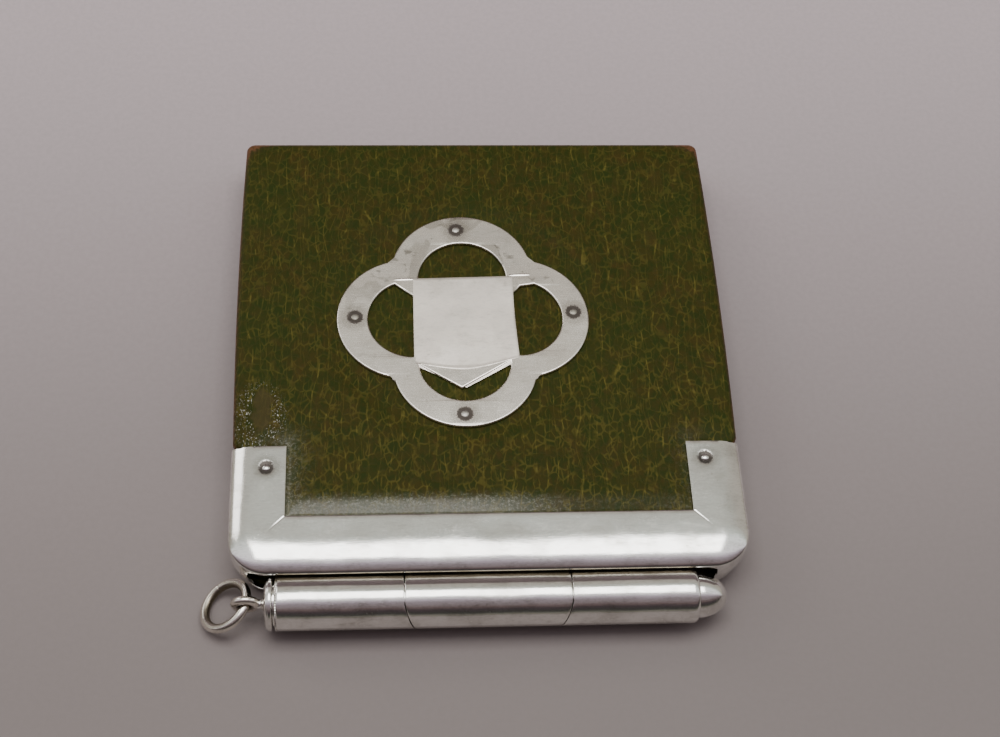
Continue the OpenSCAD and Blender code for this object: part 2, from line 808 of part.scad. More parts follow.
module pencil_lead() {
    lead_r = lead_d / 2;
    tip_l = 2;
    tip_r = 0.2;
    color(graphite) translate([head_x + holder_l, tube_y, tube_z]) rotate([0, 90, 0]) rotate_extrude()
        polygon([[0, 0], [lead_r, 0], [lead_r, cone_l + lead_out - tip_l], [tip_r, cone_l + lead_out],
                 [0, cone_l + lead_out]]);
}

// Loose ring through the eye
module jump_ring() {
    color(silver) translate([eye_x, tube_y, tube_z]) rotate([0, 0, -ring_turn]) rotate([0, -ring_lean, 0])
        translate([-ring_mid_r, 0, 0]) rotate_extrude() translate([ring_mid_r, 0]) circle(d = ring_wire_d);
}

rear_leather();
rear_board();
rear_lining();
rear_mount();
rear_mount_pins();
left_knuckle();
right_knuckle();
card_pocket();
coin_pocket();
spine_leather();
spine_board();
spine_lining();
front_leather();
front_board();
front_lining();
front_mount();
front_mount_pins();
centre_knuckle();
cartouche();
cartouche_pins();
note_pocket();
note_pad();
note_pad_back();
pencil_sleeve();
pencil_head();
pencil_eye();
lead_holder();
pencil_lead();
jump_ring();
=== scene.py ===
import math

import bmesh
import bpy
from mathutils import Matrix, Vector, noise


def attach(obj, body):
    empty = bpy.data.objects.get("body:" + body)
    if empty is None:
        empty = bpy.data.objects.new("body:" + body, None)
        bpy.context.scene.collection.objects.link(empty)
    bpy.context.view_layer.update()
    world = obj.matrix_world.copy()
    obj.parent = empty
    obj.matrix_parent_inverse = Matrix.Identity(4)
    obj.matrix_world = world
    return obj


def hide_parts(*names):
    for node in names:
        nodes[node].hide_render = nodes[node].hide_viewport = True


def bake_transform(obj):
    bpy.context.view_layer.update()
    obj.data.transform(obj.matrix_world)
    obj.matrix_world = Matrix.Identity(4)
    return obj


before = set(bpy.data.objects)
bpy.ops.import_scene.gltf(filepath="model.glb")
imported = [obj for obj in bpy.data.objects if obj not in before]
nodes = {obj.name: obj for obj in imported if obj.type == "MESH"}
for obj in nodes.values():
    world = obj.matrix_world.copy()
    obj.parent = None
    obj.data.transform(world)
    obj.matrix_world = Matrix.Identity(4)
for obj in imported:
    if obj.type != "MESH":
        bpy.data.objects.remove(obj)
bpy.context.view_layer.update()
MM = 0.001


# The photo's camera: its place, lens and three axes come from a least-squares fit to points of the
# mount, cover, cartouche and tubes.
scene = bpy.context.scene
camera = bpy.data.objects.new("photo_camera", bpy.data.cameras.new("photo_camera"))
scene.collection.objects.link(camera)
scene.camera = camera
camera.data.sensor_width = 36
camera.data.lens = 59.473
camera.data.clip_start = 0.005
right = Vector((0.99760445, -0.04460051, 0.05287866))
up = Vector((0.00957099, 0.84604269, 0.53302923))
back = -Vector((0.06851098, 0.53124624, -0.84444282))
camera.matrix_world = Matrix.Translation(Vector((-14.934, -140.624, 223.435)) * MM) @ Matrix(
    (right, up, back)).transposed().to_4x4()


# Stage: a pale grey floor that runs up into a wall, a soft box straight over the purse, a weaker one
# from the left, and dim surroundings with a dark strip low in front, as the tubes mirror them. Each
# surface is worked out from a point's place on the piece, in millimetres, and so stays with the piece.
class Value:
    """A shader value: sums work on it, and node() puts any other shader node behind it."""

    def __init__(self, tree, socket):
        self.tree = tree
        self.socket = socket

    def node(self, kind, inputs, output=0, **settings):
        made = self.tree.nodes.new("ShaderNode" + kind)
        for name, value in settings.items():
            setattr(made, name, value)
        for name, value in inputs.items():
            if isinstance(value, Value):
                self.tree.links.new(value.socket, made.inputs[name])
            else:
                made.inputs[name].default_value = value
        return Value(self.tree, made.outputs[output])

    def sum(self, kind, first, second=0.0):
        return self.node("Math", {0: first, 1: second}, operation=kind)

    def __add__(self, other):
        return self.sum("ADD", self, other)

    def __radd__(self, other):
        return self.sum("ADD", other, self)

    def __sub__(self, other):
        return self.sum("SUBTRACT", self, other)

    def __rsub__(self, other):
        return self.sum("SUBTRACT", other, self)

    def __mul__(self, other):
        return self.sum("MULTIPLY", self, other)

    def __rmul__(self, other):
        return self.sum("MULTIPLY", other, self)

    def __truediv__(self, other):
        return self.sum("DIVIDE", self, other)

    def __pow__(self, other):
        return self.sum("POWER", self, other)

    def least(self, other):
        return self.sum("MINIMUM", self, other)

    def most(self, other):
        return self.sum("MAXIMUM", self, other)

    def step(self, low, high):
        """0 below low, 1 above high and smooth between."""
        return self.node("MapRange", {"Value": self, "From Min": low, "From Max": high},
                         interpolation_type="SMOOTHSTEP")

    def scaled(self, x, y, z):
        """The same place, stretched along each axis."""
        return self.node("VectorMath", {0: self, 1: (x, y, z)}, operation="MULTIPLY")

    def moved(self, other):
        return self.node("VectorMath", {0: self, 1: other}, operation="ADD")

    def distance(self, spot):
        """Distance from a spot, in millimetres."""
        return self.node("VectorMath", {0: self, 1: spot}, output=1, operation="DISTANCE")

    def noise(self, scale, detail=2.0, roughness=0.5, distortion=0.0):
        return self.node("TexNoise", {"Vector": self, "Scale": scale, "Detail": detail,
                                      "Roughness": roughness, "Distortion": distortion})

    def bands(self, scale, distortion):
        """Wavy bands across X, a millimetre holding the scale times 20 over two pi of them."""
        return self.node("TexWave", {"Vector": self, "Scale": scale, "Distortion": distortion, "Detail": 2.0,
                                     "Detail Scale": 0.9}, output=1, bands_direction="X")

    def cells(self, scale, feature="F1", randomness=1.0):
        return self.node("TexVoronoi", {"Vector": self, "Scale": scale, "Randomness": randomness},
                         feature=feature)

    def part(self, axis):
        return self.node("SeparateXYZ", {0: self}, output="XYZ".index(axis))

    def colour(self, low, high):
        """A mix of two colours by this value."""
        return self.node("Mix", {0: self, 6: (*low, 1), 7: (*high, 1)}, output=2, data_type="RGBA")

    def over(self, base, top):
        """Colour base where this value is 0, and colour top where it is 1."""
        top = (*top, 1) if isinstance(top, tuple) else top
        return self.node("Mix", {0: self, 6: base, 7: top}, output=2, data_type="RGBA")


def surface(name, **fixed):
    """A new material with its place in millimetres, and a function that fills in the shader."""
    material = bpy.data.materials.new(name)
    material.use_nodes = True
    tree = material.node_tree
    shader = tree.nodes["Principled BSDF"]
    for key, value in fixed.items():
        shader.inputs[key.replace("_", " ")].default_value = value
    place = Value(tree, tree.nodes.new("ShaderNodeTexCoord").outputs["Object"]).scaled(1000, 1000, 1000)

    def fill(height=None, depth=0.1, **varying):
        for key, value in varying.items():
            tree.links.new(value.socket, shader.inputs[key.replace("_", " ")])
        if height:
            bump = place.node("Bump", {"Height": height, "Distance": depth * MM})
            tree.links.new(bump.socket, shader.inputs["Normal"])

    return material, place, fill


def add_sheet(bm, across, along, point):
    """Adds a grid of quads whose corners lie at point(u, v), in millimetres, for u and v from 0 to 1."""
    grid = bmesh.ops.create_grid(bm, x_segments=across, y_segments=along, size=0.5)
    for vert in grid["verts"]:
        vert.co = Vector(point(vert.co.x + 0.5, vert.co.y + 0.5)) * MM


floor_half = 1400
floor_line = [(-600, 0), (700, 0), (860, 50), (950, 160), (980, 300), (1000, 900)]
floor = bmesh.new()
add_sheet(floor, 1, len(floor_line) - 1, lambda u, v: (
    floor_half * (2 * u - 1), *floor_line[round(v * (len(floor_line) - 1))]))
floor_mesh = bpy.data.meshes.new("floor")
floor.to_mesh(floor_mesh)
floor.free()
floor_mesh.shade_smooth()
floor_piece = bpy.data.objects.new("floor", floor_mesh)
scene.collection.objects.link(floor_piece)
floor_look, floor_place, fill_floor = surface("floor_look", Roughness=0.9)
paper_grain = floor_place.noise(1.1, 3.0, 0.6)
# Painted falloff of light: the floor's colour is darker in front of the purse and lighter behind it, and
# shifts a little from left to right in front.
painted_light_far = floor_place.part("Y").step(-60, 110)
side = floor_place.part("X").step(-110, 90)
painted_shade_near_tone = (side * 0.9).colour((0.262, 0.227, 0.217), (0.257, 0.226, 0.216))
floor_painted_falloff = painted_light_far.over(painted_shade_near_tone, (0.580, 0.500, 0.515))
grainy = (paper_grain.step(0.3, 0.7) * 0.10).over(floor_painted_falloff, (0.19, 0.17, 0.155))
fill_floor(paper_grain, 0.02, Base_Color=grainy)
floor_mesh.materials.append(floor_look)

for name, spot, size, power, target in (
        ("soft_box", (0.0, 0.034, 0.62), (0.52, 0.29), 2.15, (0.0, 0.034, 0.0)),
        ("left_window", (-0.56, 0.40, 0.43), (0.34, 0.30), 0.8, (-0.037, -0.03, 0.0))):
    lamp = bpy.data.objects.new(name, bpy.data.lights.new(name, "AREA"))
    lamp.data.shape = "RECTANGLE"
    lamp.data.size, lamp.data.size_y = size
    lamp.data.energy = power
    lamp.data.color = (1.0, 0.985, 0.965)
    lamp.location = spot
    lamp.rotation_euler = (Vector(target) - Vector(spot)).to_track_quat("-Z", "Y").to_euler()
    scene.collection.objects.link(lamp)

world = bpy.data.worlds.new("surroundings")
scene.world = world
world.use_nodes = True
sky = world.node_tree
direction = Value(sky, sky.nodes.new("ShaderNodeTexCoord").outputs["Generated"])
angle = direction.node("Math", {0: direction.part("Z"), 1: direction.part("Y") * -1.0},
                       operation="ARCTAN2") * (180 / math.pi)
ramp = sky.nodes.new("ShaderNodeValToRGB")
stops = [(0, (0.21, 0.19, 0.16)), (5, (0.16, 0.15, 0.13)), (12, (0.045, 0.045, 0.04)),
         (28, (0.06, 0.045, 0.05)), (38, (0.14, 0.10, 0.10)), (46, (0.21, 0.17, 0.18)),
         (60, (0.27, 0.225, 0.25)), (70, (0.50, 0.43, 0.50)), (79, (1.0, 0.96, 1.0)),
         (106, (0.97, 1.0, 0.98)), (112, (0.60, 0.63, 0.58)), (126, (0.47, 0.44, 0.39)),
         (169, (0.42, 0.38, 0.33)), (177, (0.16, 0.15, 0.12))]
for i, (degrees, tint) in enumerate(stops):
    stop = ramp.color_ramp.elements[i] if i < 2 else ramp.color_ramp.elements.new(1.0)
    stop.position = degrees / 180
    stop.color = (*tint, 1)
sky.links.new((angle / 180).socket, ramp.inputs["Fac"])
sky.links.new(ramp.outputs["Color"], sky.nodes["Background"].inputs["Color"])
sky.nodes["Background"].inputs["Strength"].default_value = 1.0


# Mounts: sheet silver with a soft edge turned down round the front of each cover, mitred at the inner
# corners and riveted through the arms. Each pin sits in a small dish. Of each cover, half the width
# and the place of its front edge are given.
def silver(name, spots=(), spot_size=1.0, dull=0.0, matt=0.0, stains_and_reflections=False, tint=(0.945, 0.935, 0.90)):
    """Polished silver, worn: fine scratches, shallow dents, a breath of tarnish, dirt round each spot. An
    attribute from the piece adds painted shade in recesses and on a wire's inner side, with an even light
    darkening. Stained pieces get patch outlines and wavy dark bands, stronger towards the back; the bands are
    painted reflections."""
    material, place, fill = surface(name, Metallic=1.0)
    grime_and_shade = place.node("Attribute", {}, output=2, attribute_name="grime_and_shade")
    warped = place.moved(place.noise(0.09, 1.0))
    scratches = place.scaled(0.25, 5.0, 1.0).noise(1.6, 3.0, 0.6)
    cross = place.scaled(4.0, 0.5, 1.5).noise(1.9, 2.0, 0.6)
    fleck = place.noise(5.5, 3.0, 0.7)
    dents = place.noise(0.13, 1.0, 0.4)
    cloud = warped.noise(0.22, 3.0, 0.55).step(0.42, 0.72)
    streak = warped.scaled(0.5, 1.6, 1.0).noise(0.5, 4.0, 0.65).step(0.5, 0.75)
    rubs = place.scaled(1.0, 1.8, 1.0).noise(1.1, 4.0, 0.75).step(0.50, 0.68)
    grit = place.scaled(0.6, 2.0, 1.0).noise(2.4, 3.0, 0.8).step(0.48, 0.66)
    tarnish = (cloud * 0.30 + streak * 0.28 + rubs * cloud * 0.25 + grit * 0.16 + dull).least(1.0)
    base = tarnish.colour(tint, (0.34, 0.32, 0.265))
    pits = fleck.step(0.66, 0.78)
    base = (pits * 0.45).over(base, (0.14, 0.11, 0.09))
    if stains_and_reflections:
        patch = warped.scaled(1.0, 0.8, 1.0).moved(place.noise(0.5, 2.0)).noise(0.17, 2.0, 0.55)
        rear = place.part("Y").step(0.0, 14.0) * 0.8 + 0.2
        inner = (patch.step(0.50, 0.54) - patch.step(0.60, 0.66)).most(0.0)
        # Painted reflections: wavy dark bands, as if mirrored in the wavy polished sheet.
        painted_reflection_bands = patch.sum("SINE", patch * 62.0).step(0.25, 0.95) * streak.step(0.0, 0.6)
        base = (inner * rear * 0.40).over(base, (0.36, 0.33, 0.275))
        base = (painted_reflection_bands * rear * 0.60).over(base, (0.20, 0.18, 0.15))
    # Painted shade, with a little dirt: the attribute from the piece darkens the colour towards dark brown.
    base = (grime_and_shade * (0.75 + fleck * 0.3)).least(0.95).over(base, (0.105, 0.078, 0.036))
    dirty = grime_and_shade * 0.5
    for spot in spots:
        ring = 1.0 - (place.distance(spot) + fleck * 1.2 - 0.6).step(spot_size * 0.80, spot_size * 1.08)
        halo = 1.0 - (place.distance(spot) + fleck * 2.0 - 1.0).step(spot_size, spot_size * 2.1)
        dirty = dirty.most(ring)
        base = (halo * 0.35).over(base, (0.20, 0.17, 0.13))
        base = (ring * 0.9).over(base, (0.036, 0.026, 0.020))
    height = scratches * 0.45 + cross * 0.30 + fleck * 0.22 + dents * 16.0 + cloud * 0.6
    roughness = matt + 0.09 + tarnish * 0.20 + fleck.step(0.45, 0.75) * 0.10
    roughness = roughness + scratches.step(0.55, 0.7) * 0.06 + dirty * 0.35
    fill(height, 0.010, Base_Color=base, Roughness=roughness)
    return material


def piece(name, bm, body, look, stands_for=(), sharp=40, close=True):
    """Finishes a mesh as a piece that rides on a body."""
    bmesh.ops.remove_doubles(bm, verts=bm.verts, dist=2e-7)
    if close:
        bmesh.ops.holes_fill(bm, edges=bm.edges, sides=0)
    bmesh.ops.recalc_face_normals(bm, faces=bm.faces)
    mesh = bpy.data.meshes.new(name)
    bm.to_mesh(mesh)
    bm.free()
    mesh.shade_smooth()
    mesh.set_sharp_from_angle(angle=math.radians(sharp))
    mesh.materials.append(look)
    made = bpy.data.objects.new(name, mesh)
    scene.collection.objects.link(made)
    if body:
        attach(made, body)
    if stands_for:
        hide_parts(*stands_for)
    return made


T = 9.4
FRONT_COVER, REAR_COVER = (38.0, -39.3), (37.6, -38.9)
EDGE, DROP, RIM, SHEET, CORNER = 3.0, 0.8, 1.85, 0.5, 6.0
WALL, LOW_FROM, LOW_TO, LOW_R = 4.6, -35.2, 33.0, 1.4


def wall_height(x, y, front):
    """Height of a mount's wall: low behind the tubes and the pencil's head, with round ends."""
    past = max(LOW_FROM + LOW_R - x, x - LOW_TO + LOW_R, 0.0)
    if y > front + 3.2 or past >= LOW_R:
        return WALL
    return RIM + LOW_R - math.sqrt(LOW_R ** 2 - past ** 2)


def mount_piece(name, body, half, front, top, flip, pins, seed):
    arm_end = front + 20.2
    inner_x, inner_y = half - 8.2, front + 8.6
    arm, arc, run = arm_end - front - CORNER, CORNER * math.pi / 2, 2 * (half - CORNER)
    total = 2 * arm + 2 * arc + run
    outer_arc = [(EDGE * (1 - math.cos(a)), DROP * (1 - math.sin(a)))
                 for a in [math.pi / 2 * i / 16 for i in range(17)]]
    inner_arc = [(SHEET + (EDGE - SHEET) * (1 - math.cos(a)), SHEET + DROP * (1 - math.sin(a)))
                 for a in [math.pi / 2 * i / 6 for i in range(6, -1, -1)]]
    section = [("e", SHEET, RIM - 0.06), ("e", SHEET - 0.06, RIM), ("e", 0.12, RIM), ("e", 0.03, RIM - 0.04),
               ("e", 0.0, RIM - 0.13), ("e", 0.0, 1.6), ("e", 0.0, 1.4), ("e", 0.0, 1.2), ("e", 0.0, 1.0)]
    section += [("e", u, w) for u, w in outer_arc]
    section += [("f", i / 26, 0.0) for i in range(1, 26)]
    section += [("f", 0.985, 0.0), ("f", 0.996, 0.015), ("f", 1.0, 0.06), ("f", 1.0, SHEET)]
    section += [("f", 0.5, SHEET)] + [("e", u, w) for u, w in inner_arc]
    section += [section[0]]

    def place(s, kind, a):
        s = min(max(s, 0.0), total)
        flipped = s > total / 2
        s = total - s if flipped else s
        if s < arm:
            edge, inward = Vector((-half, arm_end - s)), Vector((1, 0))
        elif s < arm + arc:
            angle = (s - arm) / CORNER
            inward = Vector((math.cos(angle), math.sin(angle)))
            edge = Vector((-half + CORNER, front + CORNER)) - CORNER * inward
        else:
            edge, inward = Vector((-half + CORNER + s - arm - arc, front)), Vector((0, 1))
        target = Vector((max(edge.x, -inner_x) if inward.y == 1 else -inner_x,
                         max(edge.y, inner_y) if inward.x == 1 else inner_y))
        spot = edge + inward * a if kind == "e" else (edge + inward * EDGE).lerp(target, a)
        return -spot.x if flipped else spot.x, spot.y

    def point(u, v):
        i = round(v * (len(section) - 1))
        kind, a, w = section[i]
        x, y = place(u * total, kind, a)
        edge_x, edge_y = place(u * total, "e", 0.0)
        upper = 1.0 if w < DROP else max(0.0, (RIM - w) / (RIM - DROP))
        if w > 1.05:
            w += (wall_height(edge_x, edge_y, front) - RIM) * min(1.0, (w - 1.0) / (RIM - 1.13))
        wave = noise.noise(Vector((x * 0.09 + seed, y * 0.13, 2.7))) * 0.07
        wave += noise.noise(Vector((x * 0.35, y * 0.35 + seed, 5.1))) * 0.012
        dish = sum(0.17 * math.exp(-((math.hypot(x - px, y - py) / 0.95) ** 4)) for px, py in pins)
        fade = min(1.0, max(0.0, 1.0 - (w - 0.2) / 1.2)) if kind == "e" else 1.0
        to_band = inner_y - y if abs(x) < inner_x else arm_end - y
        to_arm = abs(x) - inner_x if y > inner_y else arm_end - y
        border = min(arm_end - y, to_band, to_arm)
        border = 0.07 * max(0.0, 1.0 - max(0.0, border) / 0.6) ** 2 if kind == "f" else 0.0
        if kind == "f" and w < 0.3:
            across, along = (inner_x - abs(x)) - (y - inner_y), (abs(x) - inner_x) + (inner_y - y)
            if abs(x) > inner_x - 0.5 and y < inner_y + 0.5:
                border += 0.04 * math.exp(-(across / 0.16) ** 2) * max(0.0, 1.0 - along / 5.5)
        side = math.hypot(x - edge_x, y - edge_y)
        roll = 0.028 * max(0.0, 5.2 - side) ** 2 * upper
        depth = w + max(0.0, wave * fade) + dish + border + roll
        return x, y, top - depth if flip > 0 else top + depth

    bm = bmesh.new()
    add_sheet(bm, int(total / 0.2), len(section) - 1, point)
    look = silver(name + "_look", [(px, py, top) for px, py in pins], 1.25)
    return piece(name, bm, body, look, [name], sharp=35)


front_pins = [(-32.7, -22.7), (32.5, -21.9)]
rear_pins = [(-32.2, -21.9), (32.2, -21.9)]
mount_piece("front_mount", "front_cover", *FRONT_COVER, T, 1, front_pins, 3.3).name = "front_mount_sheet"
mount_piece("rear_mount", "rear_cover", *REAR_COVER, 0.0, -1, rear_pins, 8.9).name = "rear_mount_sheet"


# Leather wraps: green pebbled leather, one skin over each cover's board. It is turned down the sides and
# runs round the back edge to the middle of the spine. Its edges are worn brown, it swells a little between
# the mounts and the cartouche, whose middle is at CX and CY, and a sheen is painted into its colour beside
# the front band; on the front cover painted glints fleck a scuffed patch.
def leather(name, base=((0.0245, 0.0325, 0.0042), (0.042, 0.0350, 0.0052)), vein=(0.138, 0.116, 0.022),
            grain=1.0, scuffed_and_glinting=False):
    material, place, fill = surface(name, Specular_IOR_Level=0.09, Coat_Roughness=0.22, Coat_IOR=1.55)
    flat = place.node("Attribute", {}, output=1, attribute_name="flat")
    wear = place.node("Attribute", {}, output=2, attribute_name="wear")
    bent = flat.moved(flat.scaled(1.0, 0.4, 1.0).noise(0.22, 1.0) * 4.0)
    main = bent.scaled(1.0, 0.32, 1.0).bands(0.19 * grain, 2.0)
    extra = bent.scaled(1.0, 0.45, 1.0).moved((7.3, 2.1, 0.0)).bands(0.31 * grain, 2.4)
    pebbles = flat.moved(flat.noise(0.9, 1.0) * 0.8).scaled(grain, 0.62 * grain, grain)
    cells = pebbles.cells(0.86, "DISTANCE_TO_EDGE")
    patch = flat.scaled(1.0, 0.7, 1.0).noise(0.62, 3.0, 0.65)
    wide = flat.noise(0.07, 1.0, 0.5)
    fine = flat.noise(3.2, 3.0, 0.7)
    dashes = flat.scaled(1.0, 0.34, 1.0).noise(0.85, 2.0, 0.6)
    patchy = flat.noise(0.45, 2.0, 0.6)
    ridge = main.step(0.93, 0.995) * dashes.step(0.47, 0.56) * (0.25 + patchy.step(0.42, 0.62) * 0.75)
    thin = extra.step(0.93, 0.995) * (1.0 - dashes.step(0.42, 0.53)) * (1.0 - patchy.step(0.40, 0.66) * 0.6)
    crease = 1.0 - cells.step(0.02, 0.13)
    tone = patch.step(0.36, 0.64).colour(*base)
    tone = (wide.step(0.42, 0.62) * 0.45).over(tone, (0.023, 0.037, 0.0045))
    warm = flat.scaled(1.0, 0.6, 1.0).noise(0.30, 3.0, 0.65).step(0.52, 0.68)
    tone = (warm * 0.22).over(tone, (0.080, 0.038, 0.011))
    near = 1.0 - flat.part("Y").step(-30.0, 12.0) * 0.55
    veins = (ridge * 0.52 + thin * 0.24 + crease * (0.10 + patchy.step(0.40, 0.62) * near * 0.30)).least(0.8)
    tone = (crease * (1.0 - patchy.step(0.38, 0.50)) * 0.35).over(tone, (0.011, 0.015, 0.0028))
    tone = veins.over(tone, vein)
    rubbed = (wear + fine * 0.8 - 0.62).step(0.1, 0.75)
    tone = (rubbed * 0.6).over(tone, (0.055, 0.030, 0.015))
    bare = (wear + flat.noise(1.7, 3.0, 0.7) * 1.1 - 1.12).step(0.12, 0.4)
    tone = (bare * 0.75).over(tone, (0.155, 0.066, 0.030))
    sheen = place.node("Attribute", {}, output=2, attribute_name="sheen")
    if scuffed_and_glinting:
        rough = flat.noise(0.5, 3.0, 0.6) * 2.6
        scuff = flat.moved(rough).scaled(0.62, 0.24, 0.0).distance((-20.0, -2.75, 0.0))
        tone = ((1.0 - scuff.step(0.70, 1.05)) * (0.45 + patchy * 0.4)).over(tone, (0.062, 0.048, 0.018))
        round_it = flat.scaled(0.27, 0.17, 0.0).distance((-9.15, -2.45, 0.0))
        # Painted glints: pale specks in the scuffed patch stand for highlights on the worn grain.
        painted_glints = flat.scaled(1.25, 0.75, 1.0).noise(3.6, 2.0, 0.8).step(0.60, 0.66)
        painted_glints = painted_glints * (1.0 - round_it.step(0.75, 1.25)) * scuff.step(0.9, 1.1)
        tone = (painted_glints * 0.8).over(tone, (0.62, 0.62, 0.57))
    # Painted sheen: the sheen value lightens the colour to a speckled grey glint beside the front band and
    # the arms.
    speck = flat.scaled(0.8, 1.0, 1.0).noise(2.6, 3.0, 0.8).step(0.50, 0.62)
    glint = (sheen * (0.30 + fine.step(0.40, 0.62) * 0.30) + speck * (sheen * (1.0 - sheen)) * 2.6
             + speck * sheen * 0.25).least(1.0)
    tone = (glint * 0.62).over(tone, (0.27, 0.27, 0.215))
    height = ridge * 0.6 + thin * 0.35 + fine * 0.5 + (1.0 - crease) * 0.45
    fill(height, 0.055, Base_Color=tone,
         Roughness=0.50 + fine * 0.16 - ridge * 0.10 - rubbed * 0.06,
         Coat_Weight=(sheen * 0.5 + rubbed * 0.12).least(1.0))
    return material


LEATHER_TOP = T - 0.2
CX, CY = -2.9, 3.3


def wrap_piece(name, stands_for, half, front, outer, flip, rise, look):
    y0, bend, radius, spine = front + 1.1, 37.65, 1.68, 4.7
    inner_x, inner_y, arm_end = half - 8.2, front + 8.6, front + 20.2
    tall = abs(outer - spine) - 1.65
    xs = [i / 40 * (inner_x - 0.06) for i in range(41)] + [inner_x + 0.06, inner_x + 1, inner_x + 2.2]
    xs = [-x for x in reversed(xs[1:])] + xs
    ends = [(0.9, 1.0), (0.3, 1.0), (0.06, 0.92), (0.0, 0.80)]
    ends += [(0.95 * (1 - math.cos(a)), 0.95 * (1 - math.sin(a)))
             for a in [math.pi / 12 * i for i in range(7)]]
    lies = [y0 + (inner_y - 0.06 - y0) * i / 10 for i in range(11)]
    lies += [inner_y + 0.06 + (arm_end - inner_y - 0.12) * i / 22 for i in range(23)]
    lies += [arm_end + 0.06 + (bend - arm_end - 0.06) * i / 74 for i in range(75)]
    path = [("flat", y) for y in lies] + [("turn", math.pi / 20 * i) for i in range(1, 11)]
    path += [("spine", tall * i / 7) for i in range(1, 8)]
    count = len(ends) * 2 + len(xs)
    flats, wears, sheens = {}, {}, {}

    def width(y):
        side = half - 0.26 + (0.42 if rise > 0.2 else 0.15) * math.sin(
            math.pi * min(max((y - arm_end) / (bend - arm_end), 0.0), 1.0)) ** 0.8
        if y < arm_end + 0.6:
            side = min(side, half - 0.66 + 0.4 * max(0.0, (y - arm_end) / 0.6))
        if y < y0 + 5:
            side -= 5 - math.sqrt(max(0.0, 25 - (5 - (y - y0)) ** 2))
        if y > 37.83:
            side -= 1.5 - math.sqrt(max(0.0, 2.25 - (y - 37.83) ** 2))
        return side

    def lift(x, y):
        ax = abs(x)
        if y < inner_y or (y < arm_end and ax > inner_x):
            return -0.5
        away = min(y - inner_y, math.hypot(max(0, inner_x - ax), max(0, y - arm_end)) if y > arm_end
                   else inner_x - ax)
        if rise > 0.2:
            swell = rise - (rise + 0.24) * math.exp(-((away / 1.6) ** 2))
        else:
            swell = -0.1 * math.exp(-away)
        swell *= 1 - math.exp(-max(0.0, width(y) - ax) / 1.6)
        swell *= 1 - math.exp(-max(0.0, bend - y) / 1.6)
        swell += noise.noise(Vector((x * 0.11, y * 0.11, outer))) * 0.07 * (1 - math.exp(-away / 2))
        if rise > 0.2:
            near = min(1.0, max(0.0, (math.hypot(x - CX, y - CY) - 19.4) / 3.5))
            swell *= near * near * (3 - 2 * near)
        return swell

    def point(u, v):
        i, j = round(u * (count - 1)), round(v * (len(path) - 1))
        kind, t = path[j]
        if kind == "flat":
            spot, inward, skirt, run = (t, 0.0), (0.0, 1.0), 2.1, t
        elif kind == "turn":
            spot = (bend + radius * math.sin(t), 1.65 - radius * math.cos(t))
            inward, skirt, run = (-math.sin(t), math.cos(t)), 2.1 - 0.85 * math.sin(t), bend + radius * t
        else:
            spot, inward, skirt, run = (bend + radius, 1.65 + t), (-1.0, 0.0), 1.25, bend + 2.64 + t
        side = width(spot[0])
        if i < len(ends) or i >= count - len(ends):
            k = i if i < len(ends) else count - 1 - i
            sign = -1 if i < len(ends) else 1
            inset, depth = ends[k]
            depth = depth * skirt if k < 4 else depth
            x = sign * (side - inset)
            along = max(0.0, 4 - k) * 0.4 + inset if k >= 4 else 0.3 + (3 - k) * 0.1
        else:
            x = xs[i - len(ends)]
            limit = side - 0.96
            if abs(x) > inner_x + 0.1:
                past = (abs(x) - inner_x - 0.1) / 2.1 * (limit - inner_x - 0.1) * 0.8
                x = math.copysign(inner_x + 0.1 + past, x)
            depth, along = 0.0, side - abs(x)
        if kind == "flat":
            depth -= lift(x, t) if depth < 0.5 else 0.0
        y, w = spot[0] + inward[0] * depth, spot[1] + inward[1] * depth
        fold = abs(run - bend - 1.0)
        key = (round(x, 4), round(y, 4), round(outer - flip * w, 4))
        # How strongly a sheen is painted into the leather's colour: beside the front band, mostly left of the
        # middle, and near the arms' inner edges.
        sheens[key] = math.exp(-((max(0.0, run - inner_y) / 2.6) ** 4)) * (0.06 + 0.94 * math.exp(
            -(((x + 14) / 20) ** 4))) + (0.5 if x < 0 else 0.12) * math.exp(
                -math.hypot(abs(x) - inner_x, max(0, run - arm_end)) / 1.2)
        flats[key] = (x + (side - abs(x) - 0.6) * (0.0 if depth < 0.9 else 1.0), run, depth)
        wears[key] = min(1.0, math.exp(-max(0.0, along) / 0.85) * 0.95 + math.exp(-fold / 0.9) * 0.75
                         + math.exp(-math.hypot(max(0, 36 - abs(x)), max(0, bend - run)) / 1.4) * 0.5)
        return x, y, outer - flip * w

    bm = bmesh.new()
    add_sheet(bm, count - 1, len(path) - 1, point)
    made = piece(name, bm, None, look, stands_for, sharp=60, close=False)
    made.data.attributes.new("flat", "FLOAT_VECTOR", "POINT")
    made.data.attributes.new("wear", "FLOAT", "POINT")
    made.data.attributes.new("sheen", "FLOAT", "POINT")
    flat, worn, shine = (made.data.attributes[key] for key in ("flat", "wear", "sheen"))
    for vert in made.data.vertices:
        key = tuple(round(c / MM, 4) for c in vert.co)
        near = key if key in flats else min(flats, key=lambda k: sum((a - b) ** 2 for a, b in zip(k, key)))
        flat.data[vert.index].vector = flats[near]
        worn.data[vert.index].value = wears[near]
        shine.data[vert.index].value = sheens[near]
    return made


cover_leather = leather("cover_leather_look")
front_cover_leather = leather("front_cover_leather_look", scuffed_and_glinting=True)
front_wrap = wrap_piece("front_leather_skin", ["front_leather"], *FRONT_COVER, LEATHER_TOP, 1, 0.27,
                        front_cover_leather)
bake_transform(front_wrap)
rear_wrap = wrap_piece("rear_leather_skin", ["rear_leather", "spine_leather"], *REAR_COVER, 0.0, -1, 0.0,
                       cover_leather)
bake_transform(rear_wrap)


